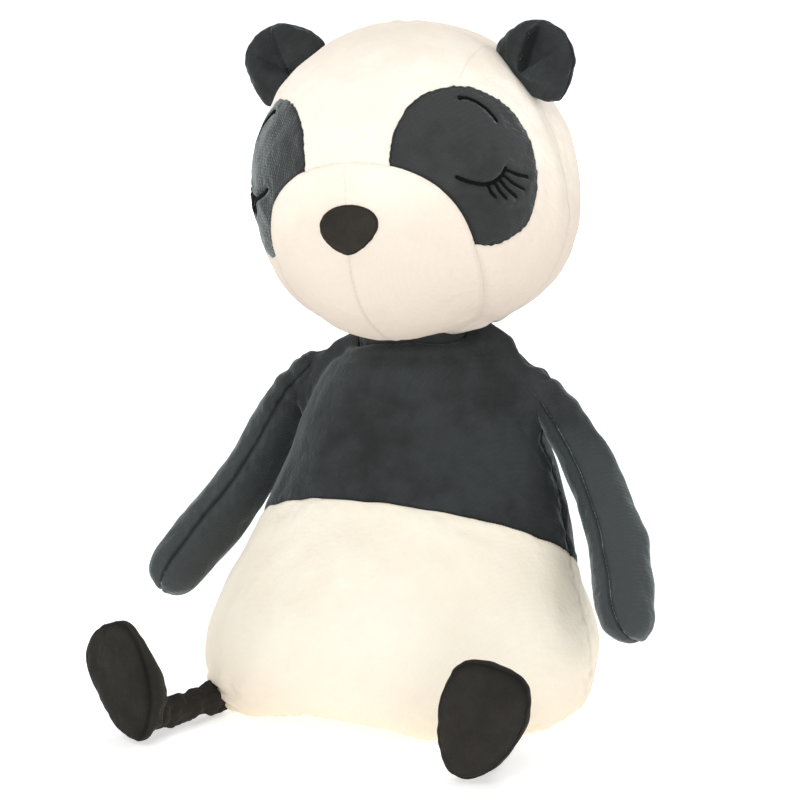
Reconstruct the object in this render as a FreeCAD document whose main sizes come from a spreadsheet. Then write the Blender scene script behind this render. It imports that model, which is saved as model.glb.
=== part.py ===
import FreeCAD, Part
import math
import os

# Plush sitting panda.  Millimetres.  +Z is up, the face looks towards -Y, its own left is +X.
# The origin is the middle of the flat underside it sits on.

doc = FreeCAD.newDocument("PlushPanda")
sheet = doc.addObject("Spreadsheet::Sheet", "Sizes")

SIZES = {
    "fabric": 2.0, "seam_gap": 0.4, "fill_gap": 0.8, "thread": 0.7, "thread_gap": 0.25,
    "lean_y": 21.0, "neck_height": 160.0, "neck_ball": 27.0, "neck_gap": 0.6, "neck_band": 16.0,
    "muzzle_wide": 47.0, "muzzle_deep": 40.0, "muzzle_tall": 43.0,
    "muzzle_y": -16.0, "muzzle_height": 205.0, "muzzle_seam_wide": 49.0, "muzzle_seam_tall": 43.5,
    "muzzle_back_y": -4.0, "nose_wide": 27.0, "nose_tall": 21.0, "nose_round": 5.0,
    "nose_rise": 2.4, "nose_height": 218.5,
    "patch_wide": 34.0, "patch_tall": 35.0, "patch_deep": 26.0, "patch_angle": 46.0, "patch_height": 239.0,
    "forehead_half": 42.0, "head_seam_y": 20.0,
    "lid_radius": 13.0, "lid_sweep": 106.0, "lash_length": 7.5, "brow_radius": 15.0, "brow_sweep": 56.0,
    "ear_half": 20.0, "ear_tall": 25.0, "ear_thick": 6.5, "ear_root": 5.0, "ear_gap": 2.0,
    "ear_x": 55.5, "ear_y": 17.0, "ear_height": 276.0, "ear_tilt": 41.0,
    "head_tilt": 6.9, "head_middle_y": 17.0, "head_middle_height": 226.0,
    "pouch_wide": 56.0, "pouch_deep": 42.0, "pouch_tall": 17.0, "pouch_y": 2.0, "pouch_height": 24.0,
    "base_wide": 73.4, "base_deep": 57.4,
    "hip_x": 68.5, "hip_y": -54.0, "leg_height": 8.2, "leg_radius": 6.4, "leg_length": 30.0,
    "leg_splay": 14.0, "leg_lining": 1.6,
    "foot_half": 19.0, "foot_tall": 26.0, "foot_deep": 19.0, "foot_lean": 14.0, "foot_turn": 11.0,
    "foot_rise": 26.8, "foot_out": 5.0, "foot_ahead": 17.5,
    "label_wide": 12.0, "label_tall": 9.0, "label_thick": 0.6, "label_height": 16.0,
}

# Torso cross-sections: height, half width, half depth, centre y.
TORSO = [(0.0, 76.0, 60.0, 0.0), (5.0, 83.0, 66.0, 0.0), (24.0, 86.0, 69.0, 1.0),
         (46.0, 82.0, 67.0, 5.0), (68.0, 74.5, 61.0, 12.0), (86.0, 68.0, 55.0, 18.0),
         (105.0, 61.5, 49.0, 22.0), (124.0, 54.5, 44.0, 23.5), (140.0, 46.0, 39.0, 22.5),
         (150.0, 38.5, 34.0, 21.5), (156.5, 32.5, 30.5, 21.0)]
# Head cross-sections, all round: height, half width, centre y.
HEAD = [(164.5, 28.0, 19.0), (168.0, 36.3, 18.5), (174.0, 47.2, 18.0), (183.0, 57.5, 17.5),
        (194.0, 65.0, 17.0), (206.0, 69.5, 17.0), (218.0, 71.0, 17.0), (232.0, 70.5, 16.5),
        (248.0, 67.5, 15.5), (265.0, 60.0, 14.5), (279.0, 49.0, 14.0), (289.0, 35.6, 14.0),
        (295.0, 20.8, 14.0), (297.5, 7.0, 14.0)]
# Left arm middle line: x, y, height, half width.
ARM = [(57.5, 24.5, 141.5, 9.4), (63.5, 26.5, 130.5, 9.8), (72.5, 27.0, 113.0, 10.8),
       (84.5, 23.0, 91.0, 12.0), (97.0, 11.0, 69.0, 12.8), (107.0, -3.0, 52.0, 12.0)]


def fill_sheet():
    row = 1
    table = dict(SIZES)
    for number, (height, wide, deep, y) in enumerate(TORSO):
        table[f"torso_height_{number}"] = height
        table[f"torso_wide_{number}"] = wide
        table[f"torso_deep_{number}"] = deep
        table[f"torso_y_{number}"] = y
    for number, (height, wide, y) in enumerate(HEAD):
        table[f"head_height_{number}"] = height
        table[f"head_wide_{number}"] = wide
        table[f"head_y_{number}"] = y
    for number, (x, y, height, half) in enumerate(ARM):
        table[f"arm_half_{number}"] = half
    for alias, value in table.items():
        sheet.set(f"A{row}", alias)
        sheet.set(f"B{row}", str(value))
        sheet.setAlias(f"B{row}", alias)
        row += 1
    doc.recompute()


def size(alias):
    return float(sheet.get(alias))


def vector(x, y, z):
    return FreeCAD.Vector(x, y, z)


def make(kind, name, spot=None, turn=None, **bound):
    item = doc.addObject(kind, name)
    for prop, formula in bound.items():
        item.setExpression(prop, formula)
    item.Placement = FreeCAD.Placement(spot or vector(0, 0, 0), turn or FreeCAD.Rotation())
    return item


def join(kind, name, base, tool):
    item = doc.addObject(f"Part::{kind}", name)
    item.Base = base
    item.Tool = tool
    return item


def cut(name, base, *tools):
    for number, tool in enumerate(tools):
        last = number == len(tools) - 1
        base = join("Cut", name if last else f"{name}_step{number}", base, tool)
    return base


def common(name, base, *tools):
    for number, tool in enumerate(tools):
        last = number == len(tools) - 1
        base = join("Common", name if last else f"{name}_step{number}", base, tool)
    return base


def fuse(name, *items):
    item = doc.addObject("Part::MultiFuse", name)
    item.Shapes = list(items)
    return item


def ellipsoid(name, spot, wide, deep, tall, turn=None):
    item = make("Part::Ellipsoid", name, spot, turn, Radius1=tall, Radius2=wide, Radius3=deep)
    item.Angle1 = -90
    item.Angle2 = 90
    item.Angle3 = 360
    return item


def ball(name, spot, radius):
    return make("Part::Sphere", name, spot, Radius=radius)


def block(name, low, high):
    item = doc.addObject("Part::Box", name)
    item.Length = high[0] - low[0]
    item.Width = high[1] - low[1]
    item.Height = high[2] - low[2]
    item.Placement.Base = vector(*low)
    return item


def half_space(name, spot, normal, gap):
    """Large block whose bottom face lies half a seam gap beyond the spot along the normal."""
    turn = FreeCAD.Rotation(vector(0, 0, 1), normal)
    item = doc.addObject("Part::Box", name)
    item.Length = 500
    item.Width = 500
    item.Height = 250
    corner = spot + normal * (gap / 2) + turn.multVec(vector(-250, -250, 0))
    item.Placement = FreeCAD.Placement(corner, turn)
    return item


def stack_loft(name, part, rows, inset, first=0):
    """Smooth stuffed form through level cross-sections, each drawn in by the inset formula."""
    outlines = []
    ends = {first: "+", len(rows) - 1: "-"}
    for number in range(first, len(rows)):
        shift = f"{ends[number]}({inset})" if number in ends else ""
        wide = f"Sizes.{part}_wide_{number}-({inset})"
        if part == "head":
            outline = make("Part::Circle", f"{name}_ring{number}", Radius=wide)
            outline.Placement.Rotation = FreeCAD.Rotation(vector(0, 0, 1), 150)
        else:
            outline = make("Part::Ellipse", f"{name}_oval{number}", MajorRadius=wide)
            outline.setExpression("MinorRadius", f"Sizes.{part}_deep_{number}-({inset})")
        outline.setExpression("Placement.Base.y", f"Sizes.{part}_y_{number}")
        outline.setExpression("Placement.Base.z", f"Sizes.{part}_height_{number}{shift}")
        outlines.append(outline)
    return loft_through(name, outlines)


def loft_through(name, outlines):
    loft = doc.addObject("Part::Loft", name)
    loft.Sections = outlines
    loft.Solid = True
    loft.Ruled = False
    return loft


def oval_plate(name, spot, wide, deep, thick):
    """Level oval plate standing on the given spot."""
    oval = make("Part::Ellipse", f"{name}_oval", spot, MajorRadius=wide, MinorRadius=deep)
    plate = doc.addObject("Part::Extrusion", name)
    plate.Base = oval
    plate.DirMode = "Custom"
    plate.Dir = vector(0, 0, 1)
    plate.Solid = True
    plate.setExpression("LengthFwd", thick)
    return plate


def side_profile(name, corners):
    """Block running across the whole toy with a side outline given as (y, height) corners."""
    body = doc.addObject("PartDesign::Body", name)
    sketch = body.newObject("Sketcher::SketchObject", f"{name}_outline")
    plane = next(item for item in body.Origin.OriginFeatures if item.Role == "YZ_Plane")
    sketch.AttachmentSupport = [(plane, "")]
    sketch.MapMode = "FlatFace"
    points = [vector(y, height, 0) for y, height in corners]
    for start, end in zip(points, points[1:] + points[:1]):
        sketch.addGeometry(Part.LineSegment(start, end), False)
    pad = body.newObject("PartDesign::Pad", f"{name}_pad")
    pad.Profile = sketch
    pad.Midplane = True
    pad.Length = 400
    body.Tip = pad
    return body


fill_sheet()
nodes = {}
gap = size("seam_gap")
SIDES = (("left", 1), ("right", -1))
neck_spot = vector(0, size("lean_y"), size("neck_height"))
neck_clear = ball("neck_clear", neck_spot, "Sizes.neck_ball+Sizes.neck_gap")

# The head is built upright and then leans to the toy's right about its own middle.
head_middle = vector(0, size("head_middle_y"), size("head_middle_height"))
head_lean = FreeCAD.Placement(vector(0, 0, 0), FreeCAD.Rotation(vector(0, 1, 0), -size("head_tilt")),
                              head_middle)
neck_socket = ball("neck_socket", head_lean.inverse().multVec(neck_spot), "Sizes.neck_ball+Sizes.neck_gap")


# ---- torso: two-tone fabric over stuffing, with a weighted pouch low down -----------------------

torso_form = stack_loft("torso_form", "torso", TORSO, "0")
torso_hollow = stack_loft("torso_hollow", "torso", TORSO, "Sizes.fabric")
base_opening = oval_plate("base_opening", vector(0, 0, -1), "Sizes.base_wide+Sizes.seam_gap",
                          "Sizes.base_deep+Sizes.seam_gap", "Sizes.fabric+2")
torso_skin = cut("torso_skin", torso_form, torso_hollow, base_opening, neck_clear)

HEM = [(-120, 104), (-35, 99), (-12, 95), (12, 82), (44, 63), (80, 54), (120, 52)]
above_hem = side_profile("above_hem", HEM + [(120, 220), (-120, 220)])
lower_line = [(y, height - gap) for y, height in HEM]
below_hem = side_profile("below_hem", lower_line + [(120, -10), (-120, -10)])
SIDE_SEAM = [(6, -10), (6, 20), (11, 46), (25, 95), (27, 120), (26, 220)]
ahead_line = [(y - gap / 2, height) for y, height in SIDE_SEAM]
behind_line = [(y + gap / 2, height) for y, height in SIDE_SEAM]
ahead = side_profile("ahead", ahead_line + [(-150, 220), (-150, -10)])
behind = side_profile("behind", behind_line + [(150, 220), (150, -10)])

nodes["chest_panel"] = common("chest_panel", torso_skin, above_hem, ahead)
nodes["upper_back_panel"] = common("upper_back_panel", torso_skin, above_hem, behind)
nodes["belly_panel"] = common("belly_panel", torso_skin, below_hem, ahead)
nodes["lower_back_panel"] = common("lower_back_panel", torso_skin, below_hem, behind)

nodes["base_panel"] = oval_plate("base_panel", vector(0, 0, 0), "Sizes.base_wide", "Sizes.base_deep",
                                 "Sizes.fabric")

pouch_spot = vector(0, size("pouch_y"), size("pouch_height"))
pouch_form = ellipsoid("pouch_form", pouch_spot, "Sizes.pouch_wide", "Sizes.pouch_deep", "Sizes.pouch_tall")
pouch_hollow = ellipsoid("pouch_hollow", pouch_spot, "Sizes.pouch_wide-1.2", "Sizes.pouch_deep-1.2",
                         "Sizes.pouch_tall-1.2")
pouch_space = ellipsoid("pouch_space", pouch_spot, "Sizes.pouch_wide+Sizes.fill_gap",
                        "Sizes.pouch_deep+Sizes.fill_gap", "Sizes.pouch_tall+Sizes.fill_gap")
torso_fill = stack_loft("torso_fill", "torso", TORSO, "Sizes.fabric+Sizes.fill_gap")
nodes["body_stuffing"] = cut("body_stuffing", torso_fill, pouch_space, neck_clear)
nodes["bean_pouch"] = cut("bean_pouch", pouch_form, pouch_hollow)
nodes["bean_filling"] = ellipsoid("bean_filling", pouch_spot, "Sizes.pouch_wide-1.8",
                                  "Sizes.pouch_deep-1.8", "Sizes.pouch_tall-1.8")

label_block = make("Part::Box", "care_label", Length="Sizes.label_wide", Width="Sizes.label_tall",
                   Height="Sizes.label_thick")
label_block.Placement.Base = vector(-6, 69.5, size("label_height"))
nodes["care_label"] = label_block


# ---- neck: a ball of stuffing in a fabric band; the head turns and nods around it ----------------

neck_form = ball("neck_form", neck_spot, "Sizes.neck_ball")
neck_inside = ball("neck_inside", neck_spot, "Sizes.neck_ball-Sizes.fabric")
band_half = size("neck_band") / 2
low = size("neck_height") - band_half
band_zone = block("band_zone", (-60, -60, low), (60, 90, low + 2 * band_half))
nodes["neck_band"] = common("neck_band", cut("neck_shell", neck_form, neck_inside), band_zone)
nodes["neck_stuffing"] = ball("neck_stuffing", neck_spot, "Sizes.neck_ball-Sizes.fabric-0.6")


# ---- head: rounded square head with a domed two-part muzzle ----------------------------------------

muzzle_spot = vector(0, size("muzzle_y"), size("muzzle_height"))


def head_form(name, inset, first=0):
    """Skull with the muzzle dome fused on, and the skull alone."""
    skull = stack_loft(f"{name}_skull", "head", HEAD, inset, first)
    dome = ellipsoid(f"{name}_dome", muzzle_spot, f"Sizes.muzzle_wide-({inset})",
                     f"Sizes.muzzle_deep-({inset})", f"Sizes.muzzle_tall-({inset})")
    return fuse(name, skull, dome), skull


head_outside, skull_outside = head_form("head_outside", "0")
head_inside, skull_inside = head_form("head_inside", "Sizes.fabric")
ear_clears = []
for side_name, side in SIDES:
    lie = FreeCAD.Rotation(vector(0, 1, 0), side * size("ear_tilt") + 90)
    reach = size("ear_half") + 1
    ear_spot = vector(side * size("ear_x"), size("ear_y"), size("ear_height"))
    ear_clear = make("Part::Cylinder", f"ear_clear_{side_name}", ear_spot - lie.multVec(vector(0, 0, reach)),
                     lie, Radius="Sizes.ear_thick+Sizes.ear_gap")
    ear_clear.Height = 2 * reach
    ear_clears.append(ear_clear)
head_skin = cut("head_skin", head_outside, head_inside, neck_socket)
skull_skin = cut("skull_skin", skull_outside, skull_inside, neck_socket, *ear_clears)
head_fill = head_form("head_fill", "Sizes.fabric+Sizes.fill_gap", 1)[0]
nodes["head_stuffing"] = cut("head_stuffing", head_fill, neck_socket, *ear_clears)


def oval_bar(name, wide, tall):
    """Bar of oval section pointing forwards; it outlines the muzzle seam."""
    turn = FreeCAD.Rotation(vector(1, 0, 0), 90)
    oval = make("Part::Ellipse", f"{name}_oval", vector(0, size("muzzle_back_y"), 204), turn,
                MajorRadius=wide, MinorRadius=tall)
    bar = doc.addObject("Part::Extrusion", name)
    bar.Base = oval
    bar.DirMode = "Custom"
    bar.Dir = vector(0, -1, 0)
    bar.LengthFwd = 80
    bar.Solid = True
    return bar


muzzle_zone = oval_bar("muzzle_zone", "Sizes.muzzle_seam_wide", "Sizes.muzzle_seam_tall")
muzzle_clear = oval_bar("muzzle_clear", "Sizes.muzzle_seam_wide+Sizes.seam_gap",
                        "Sizes.muzzle_seam_tall+Sizes.seam_gap")
muzzle_skin = common("muzzle_skin", head_skin, muzzle_zone)

head_seam = vector(0, size("head_seam_y"), 200)
front_zone = half_space("front_zone", head_seam, vector(0, -1, 0), gap)
back_zone = half_space("back_zone", head_seam, vector(0, 1, 0), gap)
face_skin = common("face_skin", skull_skin, front_zone)
back_skin = common("back_skin", skull_skin, back_zone)

half = size("forehead_half")
forehead_zone = block("forehead_zone", (-half, -120, 206), (half, 60, 320))
forehead_clear = block("forehead_clear", (-half - gap, -120, 206 - gap), (half + gap, 60, 320))


def on_head(angle, height, out=0.0):
    """Point on the head at a compass angle from straight ahead, and the outward direction there."""
    radius = 0.0
    centre = 0.0
    for low_row, high_row in zip(HEAD, HEAD[1:]):
        if low_row[0] <= height <= high_row[0]:
            share = (height - low_row[0]) / (high_row[0] - low_row[0])
            radius = low_row[1] + share * (high_row[1] - low_row[1])
            centre = low_row[2] + share * (high_row[2] - low_row[2])
            slope = (low_row[1] - high_row[1]) / (high_row[0] - low_row[0])
    turn = math.radians(angle)
    level = vector(math.sin(turn), -math.cos(turn), 0)
    outward = (level + vector(0, 0, slope)).normalize()
    spot = vector(0, centre, height) + level * radius
    return spot + outward * out, outward


def patch_frame(side, angle, height, out):
    """Placement lying on the head: local x runs outwards round the head, local z points off it."""
    spot, outward = on_head(side * angle, height, out)
    across = vector(0, 0, 1).cross(outward).normalize()
    up = outward.cross(across)
    turn = FreeCAD.Rotation(across, up, outward, "ZXY")
    return FreeCAD.Placement(spot, turn)


def stitch_parts(name, side, thickness):
    """Closed eyelid with five lashes, drawn as thin rods of the given thickness formula."""
    frame = patch_frame(side, 49, 235, -0.7)
    arc = make("Part::Torus", f"{name}_arc", Radius1="Sizes.lid_radius", Radius2=thickness)
    arc.Angle3 = size("lid_sweep")
    start = FreeCAD.Rotation(vector(0, 0, 1), 270 + side * 7 - size("lid_sweep") / 2)
    arc.Placement = frame.multiply(FreeCAD.Placement(vector(0, size("lid_radius") - 4, 0), start))
    rods = [arc]
    for number in range(5):
        swing = 292 + number * 9
        along = FreeCAD.Rotation(vector(0, 0, 1), swing if side > 0 else 180 - swing)
        rod = make("Part::Cylinder", f"{name}_lash{number}", Radius=f"0.86*({thickness})",
                   Height="Sizes.lash_length")
        base = along.multVec(vector(size("lid_radius") + 0.1, 0, 0)) + vector(0, size("lid_radius") - 4, 0)
        lie = along.multiply(FreeCAD.Rotation(vector(0, 1, 0), 90))
        rod.Placement = frame.multiply(FreeCAD.Placement(base, lie))
        rods.append(rod)
    return fuse(name, *rods)


def brow_part(name, side, thickness):
    frame = patch_frame(side, 48.5, 267, -0.35)
    arc = make("Part::Torus", name, Radius1="Sizes.brow_radius", Radius2=thickness)
    arc.Angle3 = size("brow_sweep")
    middle = 60 if side > 0 else 120
    start = FreeCAD.Rotation(vector(0, 0, 1), middle - size("brow_sweep") / 2)
    arc.Placement = frame.multiply(FreeCAD.Placement(vector(0, -size("brow_radius"), 0), start))
    return arc


patch_clears = []
for side_name, side in SIDES:
    frame = patch_frame(side, size("patch_angle"), size("patch_height"), 0)
    zone = ellipsoid(f"patch_zone_{side_name}", frame.Base, "Sizes.patch_wide", "Sizes.patch_tall",
                     "Sizes.patch_deep", frame.Rotation)
    clear = ellipsoid(f"patch_clear_{side_name}", frame.Base, "Sizes.patch_wide+Sizes.seam_gap",
                      "Sizes.patch_tall+Sizes.seam_gap", "Sizes.patch_deep", frame.Rotation)
    patch_clears.append(clear)
    lid_groove = stitch_parts(f"lid_groove_{side_name}", side, "Sizes.thread+Sizes.thread_gap")
    brow_groove = brow_part(f"brow_groove_{side_name}", side, "Sizes.thread+Sizes.thread_gap")
    whole = common(f"patch_whole_{side_name}", skull_skin, zone)
    nodes[f"eye_patch_{side_name}"] = cut(f"eye_patch_{side_name}", whole, muzzle_clear, lid_groove,
                                          brow_groove)
    nodes[f"eyelid_stitching_{side_name}"] = stitch_parts(f"eyelid_stitching_{side_name}", side,
                                                          "Sizes.thread")
    nodes[f"brow_stitching_{side_name}"] = brow_part(f"brow_stitching_{side_name}", side, "Sizes.thread")

face_open = cut("face_open", face_skin, muzzle_clear, *patch_clears)
nodes["forehead_panel"] = common("forehead_panel", face_open, forehead_zone)
cheeks = cut("cheeks", face_open, forehead_clear)
for side_name, side in SIDES:
    half_zone = half_space(f"{side_name}_half", vector(0, 0, 200), vector(side, 0, 0), gap)
    nodes[f"cheek_panel_{side_name}"] = common(f"cheek_panel_{side_name}", cheeks, half_zone)
    nodes[f"head_back_{side_name}"] = common(f"head_back_{side_name}", back_skin, half_zone)
    nodes[f"muzzle_panel_{side_name}"] = common(f"muzzle_panel_{side_name}", muzzle_skin, half_zone)

nose_body = doc.addObject("PartDesign::Body", "nose_block")
nose_sketch = nose_body.newObject("Sketcher::SketchObject", "nose_outline")
nose_plane = next(item for item in nose_body.Origin.OriginFeatures if item.Role == "XZ_Plane")
nose_sketch.AttachmentSupport = [(nose_plane, "")]
nose_sketch.MapMode = "FlatFace"
top = size("nose_height") + size("nose_tall") / 2
corners = [vector(-size("nose_wide") / 2 - 2, top, 0), vector(size("nose_wide") / 2 + 2, top, 0),
           vector(0, top - size("nose_tall") - 5, 0)]
for start, end in zip(corners, corners[1:] + corners[:1]):
    nose_sketch.addGeometry(Part.LineSegment(start, end), False)
nose_pad = nose_body.newObject("PartDesign::Pad", "nose_pad_block")
nose_pad.Profile = nose_sketch
nose_pad.Length = 120
nose_pad.Midplane = True
nose_body.Tip = nose_pad
doc.recompute()
upright = []
for number, edge in enumerate(nose_pad.Shape.Edges):
    if abs(edge.tangentAt(edge.FirstParameter).y) > 0.99:
        upright.append(f"Edge{number + 1}")
nose_soft = nose_body.newObject("PartDesign::Fillet", "nose_soft")
nose_soft.Base = (nose_pad, upright)
nose_soft.setExpression("Radius", "Sizes.nose_round")
nose_body.Tip = nose_soft
nose_crown = head_form("nose_crown", "-Sizes.nose_rise")[0]
nose_under = head_form("nose_under", "-0.3")[0]
nose_front = half_space("nose_front", vector(0, -30, 200), vector(0, -1, 0), gap)
nodes["nose_pad"] = cut("nose_pad", common("nose_solid", nose_crown, nose_body, nose_front), nose_under)


# ---- ears: rounded, lightly filled, hinged along their root ------------------------------------

def ear_shape(name, side, inset):
    """Rounded ear standing on a rod-shaped root that lies along its seam with the head."""
    spot = vector(side * size("ear_x"), size("ear_y"), size("ear_height"))
    tilt = FreeCAD.Rotation(vector(0, 1, 0), side * size("ear_tilt"))
    lobe = ellipsoid(f"{name}_lobe", spot, f"Sizes.ear_half-({inset})", f"Sizes.ear_thick-({inset})",
                     f"Sizes.ear_tall-({inset})", tilt)
    lobe.Angle1 = 0
    root_turn = tilt.multiply(FreeCAD.Rotation(vector(0, 1, 0), 90))
    shift = tilt.multVec(vector(-size("ear_half") + 3, 0, 0))
    root = make("Part::Cylinder", f"{name}_root", spot + shift, root_turn,
                Radius=f"Sizes.ear_root-({inset})")
    root.setExpression("Height", "2*Sizes.ear_half-6")
    if inset != "0":
        return common(f"{name}", lobe, ear_zone(f"{name}_zone", spot, tilt, 0.0))
    return fuse(name, lobe, root)


def ear_zone(name, spot, tilt, lift):
    zone = doc.addObject("Part::Box", name)
    zone.Length = 80
    zone.Width = 60
    zone.Height = 60
    zone.Placement = FreeCAD.Placement(spot + tilt.multVec(vector(-40, -30, lift)), tilt)
    return zone


for side_name, side in SIDES:
    spot = vector(side * size("ear_x"), size("ear_y"), size("ear_height"))
    outside = ear_shape(f"ear_outside_{side_name}", side, "0")
    inside = ear_shape(f"ear_inside_{side_name}", side, "Sizes.fabric")
    filling = ear_shape(f"ear_filling_{side_name}", side, "Sizes.fabric+0.5")
    skin = cut(f"ear_skin_{side_name}", outside, inside)
    ahead_zone = half_space(f"ear_ahead_{side_name}", spot, vector(0, -1, 0), gap)
    behind_zone = half_space(f"ear_behind_{side_name}", spot, vector(0, 1, 0), gap)
    nodes[f"ear_front_{side_name}"] = common(f"ear_front_{side_name}", skin, ahead_zone)
    nodes[f"ear_back_{side_name}"] = common(f"ear_back_{side_name}", skin, behind_zone)
    tilt = FreeCAD.Rotation(vector(0, 1, 0), side * size("ear_tilt"))
    zone = ear_zone(f"ear_fill_zone_{side_name}", spot, tilt, 0.6)
    nodes[f"ear_stuffing_{side_name}"] = common(f"ear_stuffing_{side_name}", filling, zone)


head_parts = ("forehead_panel", "nose_pad", "head_stuffing", "cheek_panel", "head_back", "muzzle_panel",
              "eye_patch", "eyelid_stitching", "brow_stitching", "ear_front", "ear_back", "ear_stuffing")
for node_name, item in nodes.items():
    if node_name.startswith(head_parts):
        item.Placement = head_lean.multiply(item.Placement)


# ---- arms: sausage-shaped, seam along the edge, ball-shaped root at the shoulder ----------------

ARM_INSETS = {"0": 0.0, "Sizes.fabric": size("fabric"),
              "Sizes.fabric+Sizes.fill_gap": size("fabric") + size("fill_gap")}


def arm_form(name, side, inset):
    """Curved sausage whose ends are drawn in along ball-shaped outlines."""
    spots = [vector(side * x, y, height) for x, y, height, half in ARM]
    last = len(spots) - 1
    rings = []
    for number, spot in enumerate(spots):
        towards = (spots[max(number - 1, 0)] - spots[min(number + 1, last)]).normalize()
        turn = FreeCAD.Rotation(vector(0, 0, 1), towards)
        half = f"(Sizes.arm_half_{number}-({inset}))"
        reach = size(f"arm_half_{number}") - ARM_INSETS[inset]
        angles = {0: (78, 50, 25, 0), last: (0, 25, 50, 78)}.get(number, (0,))
        away = 1 if number == 0 else -1
        for angle in angles:
            shift = towards * (away * reach * math.sin(math.radians(angle)))
            ring_name = f"{name}_ring{number}_{angle}"
            rings.append(make("Part::Circle", ring_name, spot + shift, turn, Radius=f"{half}*cos({angle})"))
    return loft_through(name, rings)


arm_normal = vector(0.881, 0.05, 0.471)
for side_name, side in SIDES:
    outside = arm_form(f"arm_outside_{side_name}", side, "0")
    inside = arm_form(f"arm_inside_{side_name}", side, "Sizes.fabric")
    skin = cut(f"arm_skin_{side_name}", outside, inside)
    normal = vector(side * arm_normal.x, arm_normal.y, arm_normal.z).normalize()
    spot = vector(side * ARM[0][0], ARM[0][1], ARM[0][2])
    outer_zone = half_space(f"arm_outer_zone_{side_name}", spot, normal, gap)
    inner_zone = half_space(f"arm_inner_zone_{side_name}", spot, normal * -1, gap)
    nodes[f"arm_outer_panel_{side_name}"] = common(f"arm_outer_panel_{side_name}", skin, outer_zone)
    nodes[f"arm_inner_panel_{side_name}"] = common(f"arm_inner_panel_{side_name}", skin, inner_zone)
    nodes[f"arm_stuffing_{side_name}"] = arm_form(f"arm_stuffing_{side_name}", side,
                                                  "Sizes.fabric+Sizes.fill_gap")


# ---- legs and feet: thin legs lying on the ground, upright padded feet ----------------------------

def capsule(name, start, end, radius):
    along = end - start
    turn = FreeCAD.Rotation(vector(0, 0, 1), along)
    rod = make("Part::Cylinder", f"{name}_rod", start, turn, Radius=radius, Height="Sizes.leg_length")
    return fuse(name, rod, ball(f"{name}_hip", start, radius), ball(f"{name}_ankle", end, radius))


def foot_oval(name, frame, trim, start, thick):
    """Oval plate lying across the foot, leaning with it; local z points out of the sole."""
    oval = make("Part::Ellipse", f"{name}_oval", MajorRadius=f"Sizes.foot_tall-({trim})",
                MinorRadius=f"Sizes.foot_half-({trim})")
    quarter = FreeCAD.Rotation(vector(0, 0, 1), 90)
    oval.Placement = frame.multiply(FreeCAD.Placement(vector(0, 0, start), quarter))
    plate = doc.addObject("Part::Extrusion", name)
    plate.Base = oval
    plate.DirMode = "Custom"
    plate.Dir = frame.Rotation.multVec(vector(0, 0, 1))
    plate.setExpression("LengthFwd", thick)
    plate.Solid = True
    return plate


for side_name, side in SIDES:
    splay = math.radians(size("leg_splay"))
    heading = vector(side * math.sin(splay), -math.cos(splay), 0)
    hip = vector(side * size("hip_x"), size("hip_y"), size("leg_height"))
    ankle = hip + heading * size("leg_length")
    outside = capsule(f"leg_outside_{side_name}", hip, ankle, "Sizes.leg_radius")
    inside = capsule(f"leg_inside_{side_name}", hip, ankle, "Sizes.leg_radius-Sizes.leg_lining")
    nodes[f"leg_panel_{side_name}"] = cut(f"leg_panel_{side_name}", outside, inside)
    nodes[f"leg_stuffing_{side_name}"] = capsule(f"leg_stuffing_{side_name}", hip, ankle,
                                                 "Sizes.leg_radius-Sizes.leg_lining-0.5")
    face_turn = FreeCAD.Rotation(vector(0, 0, 1), side * size("foot_turn"))
    stand = FreeCAD.Rotation(vector(1, 0, 0), 90)
    lean = FreeCAD.Rotation(vector(0, 0, 1), -side * size("foot_lean"))
    middle = vector(ankle.x + side * size("foot_out"), ankle.y - size("foot_ahead"), size("foot_rise"))
    frame = FreeCAD.Placement(middle, face_turn.multiply(stand).multiply(lean))
    # Local z points forwards out of the sole and local y upwards; the dome bulges backwards.
    domes = []
    skins = (("outside", "0"), ("inside", "Sizes.fabric"), ("fill", "Sizes.fabric+Sizes.fill_gap"))
    for kind, inset in skins:
        dome = ellipsoid(f"foot_{kind}_{side_name}", middle, f"Sizes.foot_half-({inset})",
                         f"Sizes.foot_tall-({inset})", f"Sizes.foot_deep-({inset})", frame.Rotation)
        dome.Angle2 = 0
        domes.append(dome)
    ankle_clear = ball(f"ankle_clear_{side_name}", ankle, "Sizes.leg_radius+Sizes.neck_gap")
    nodes[f"foot_upper_{side_name}"] = cut(f"foot_upper_{side_name}", domes[0], domes[1], ankle_clear)
    back = frame.Rotation.multVec(vector(0, 0, -1))
    fill_zone = half_space(f"foot_fill_zone_{side_name}", middle, back, 0.8)
    nodes[f"foot_stuffing_{side_name}"] = cut(f"foot_stuffing_{side_name}",
                                              common(f"foot_fill_part_{side_name}", domes[2], fill_zone),
                                              ankle_clear)
    nodes[f"foot_sole_{side_name}"] = foot_oval(f"foot_sole_{side_name}", frame, "0", 0.4, "Sizes.fabric")


# ---- check and write ---------------------------------------------------------------------------------

doc.recompute()
broken = [item.Name for item in doc.Objects if {"Invalid", "Error"} & set(item.State)]
if broken:
    raise RuntimeError(f"did not compute: {broken}")
os.makedirs("parts", exist_ok=True)
for name, item in nodes.items():
    shape = item.Shape
    if shape.isNull() or not shape.isValid() or not shape.Solids:
        raise RuntimeError(f"{name} has no valid solid")
    item.Label = name
    shape.exportStep(f"parts/{name}.step")
    print(name, len(shape.Solids), round(shape.Volume), [round(value, 1) for value in
          (shape.BoundBox.XMin, shape.BoundBox.XMax, shape.BoundBox.YMin, shape.BoundBox.YMax,
           shape.BoundBox.ZMin, shape.BoundBox.ZMax)])
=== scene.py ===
import math
import bpy
import numpy as np
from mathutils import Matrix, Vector
from mathutils.kdtree import KDTree


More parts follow.
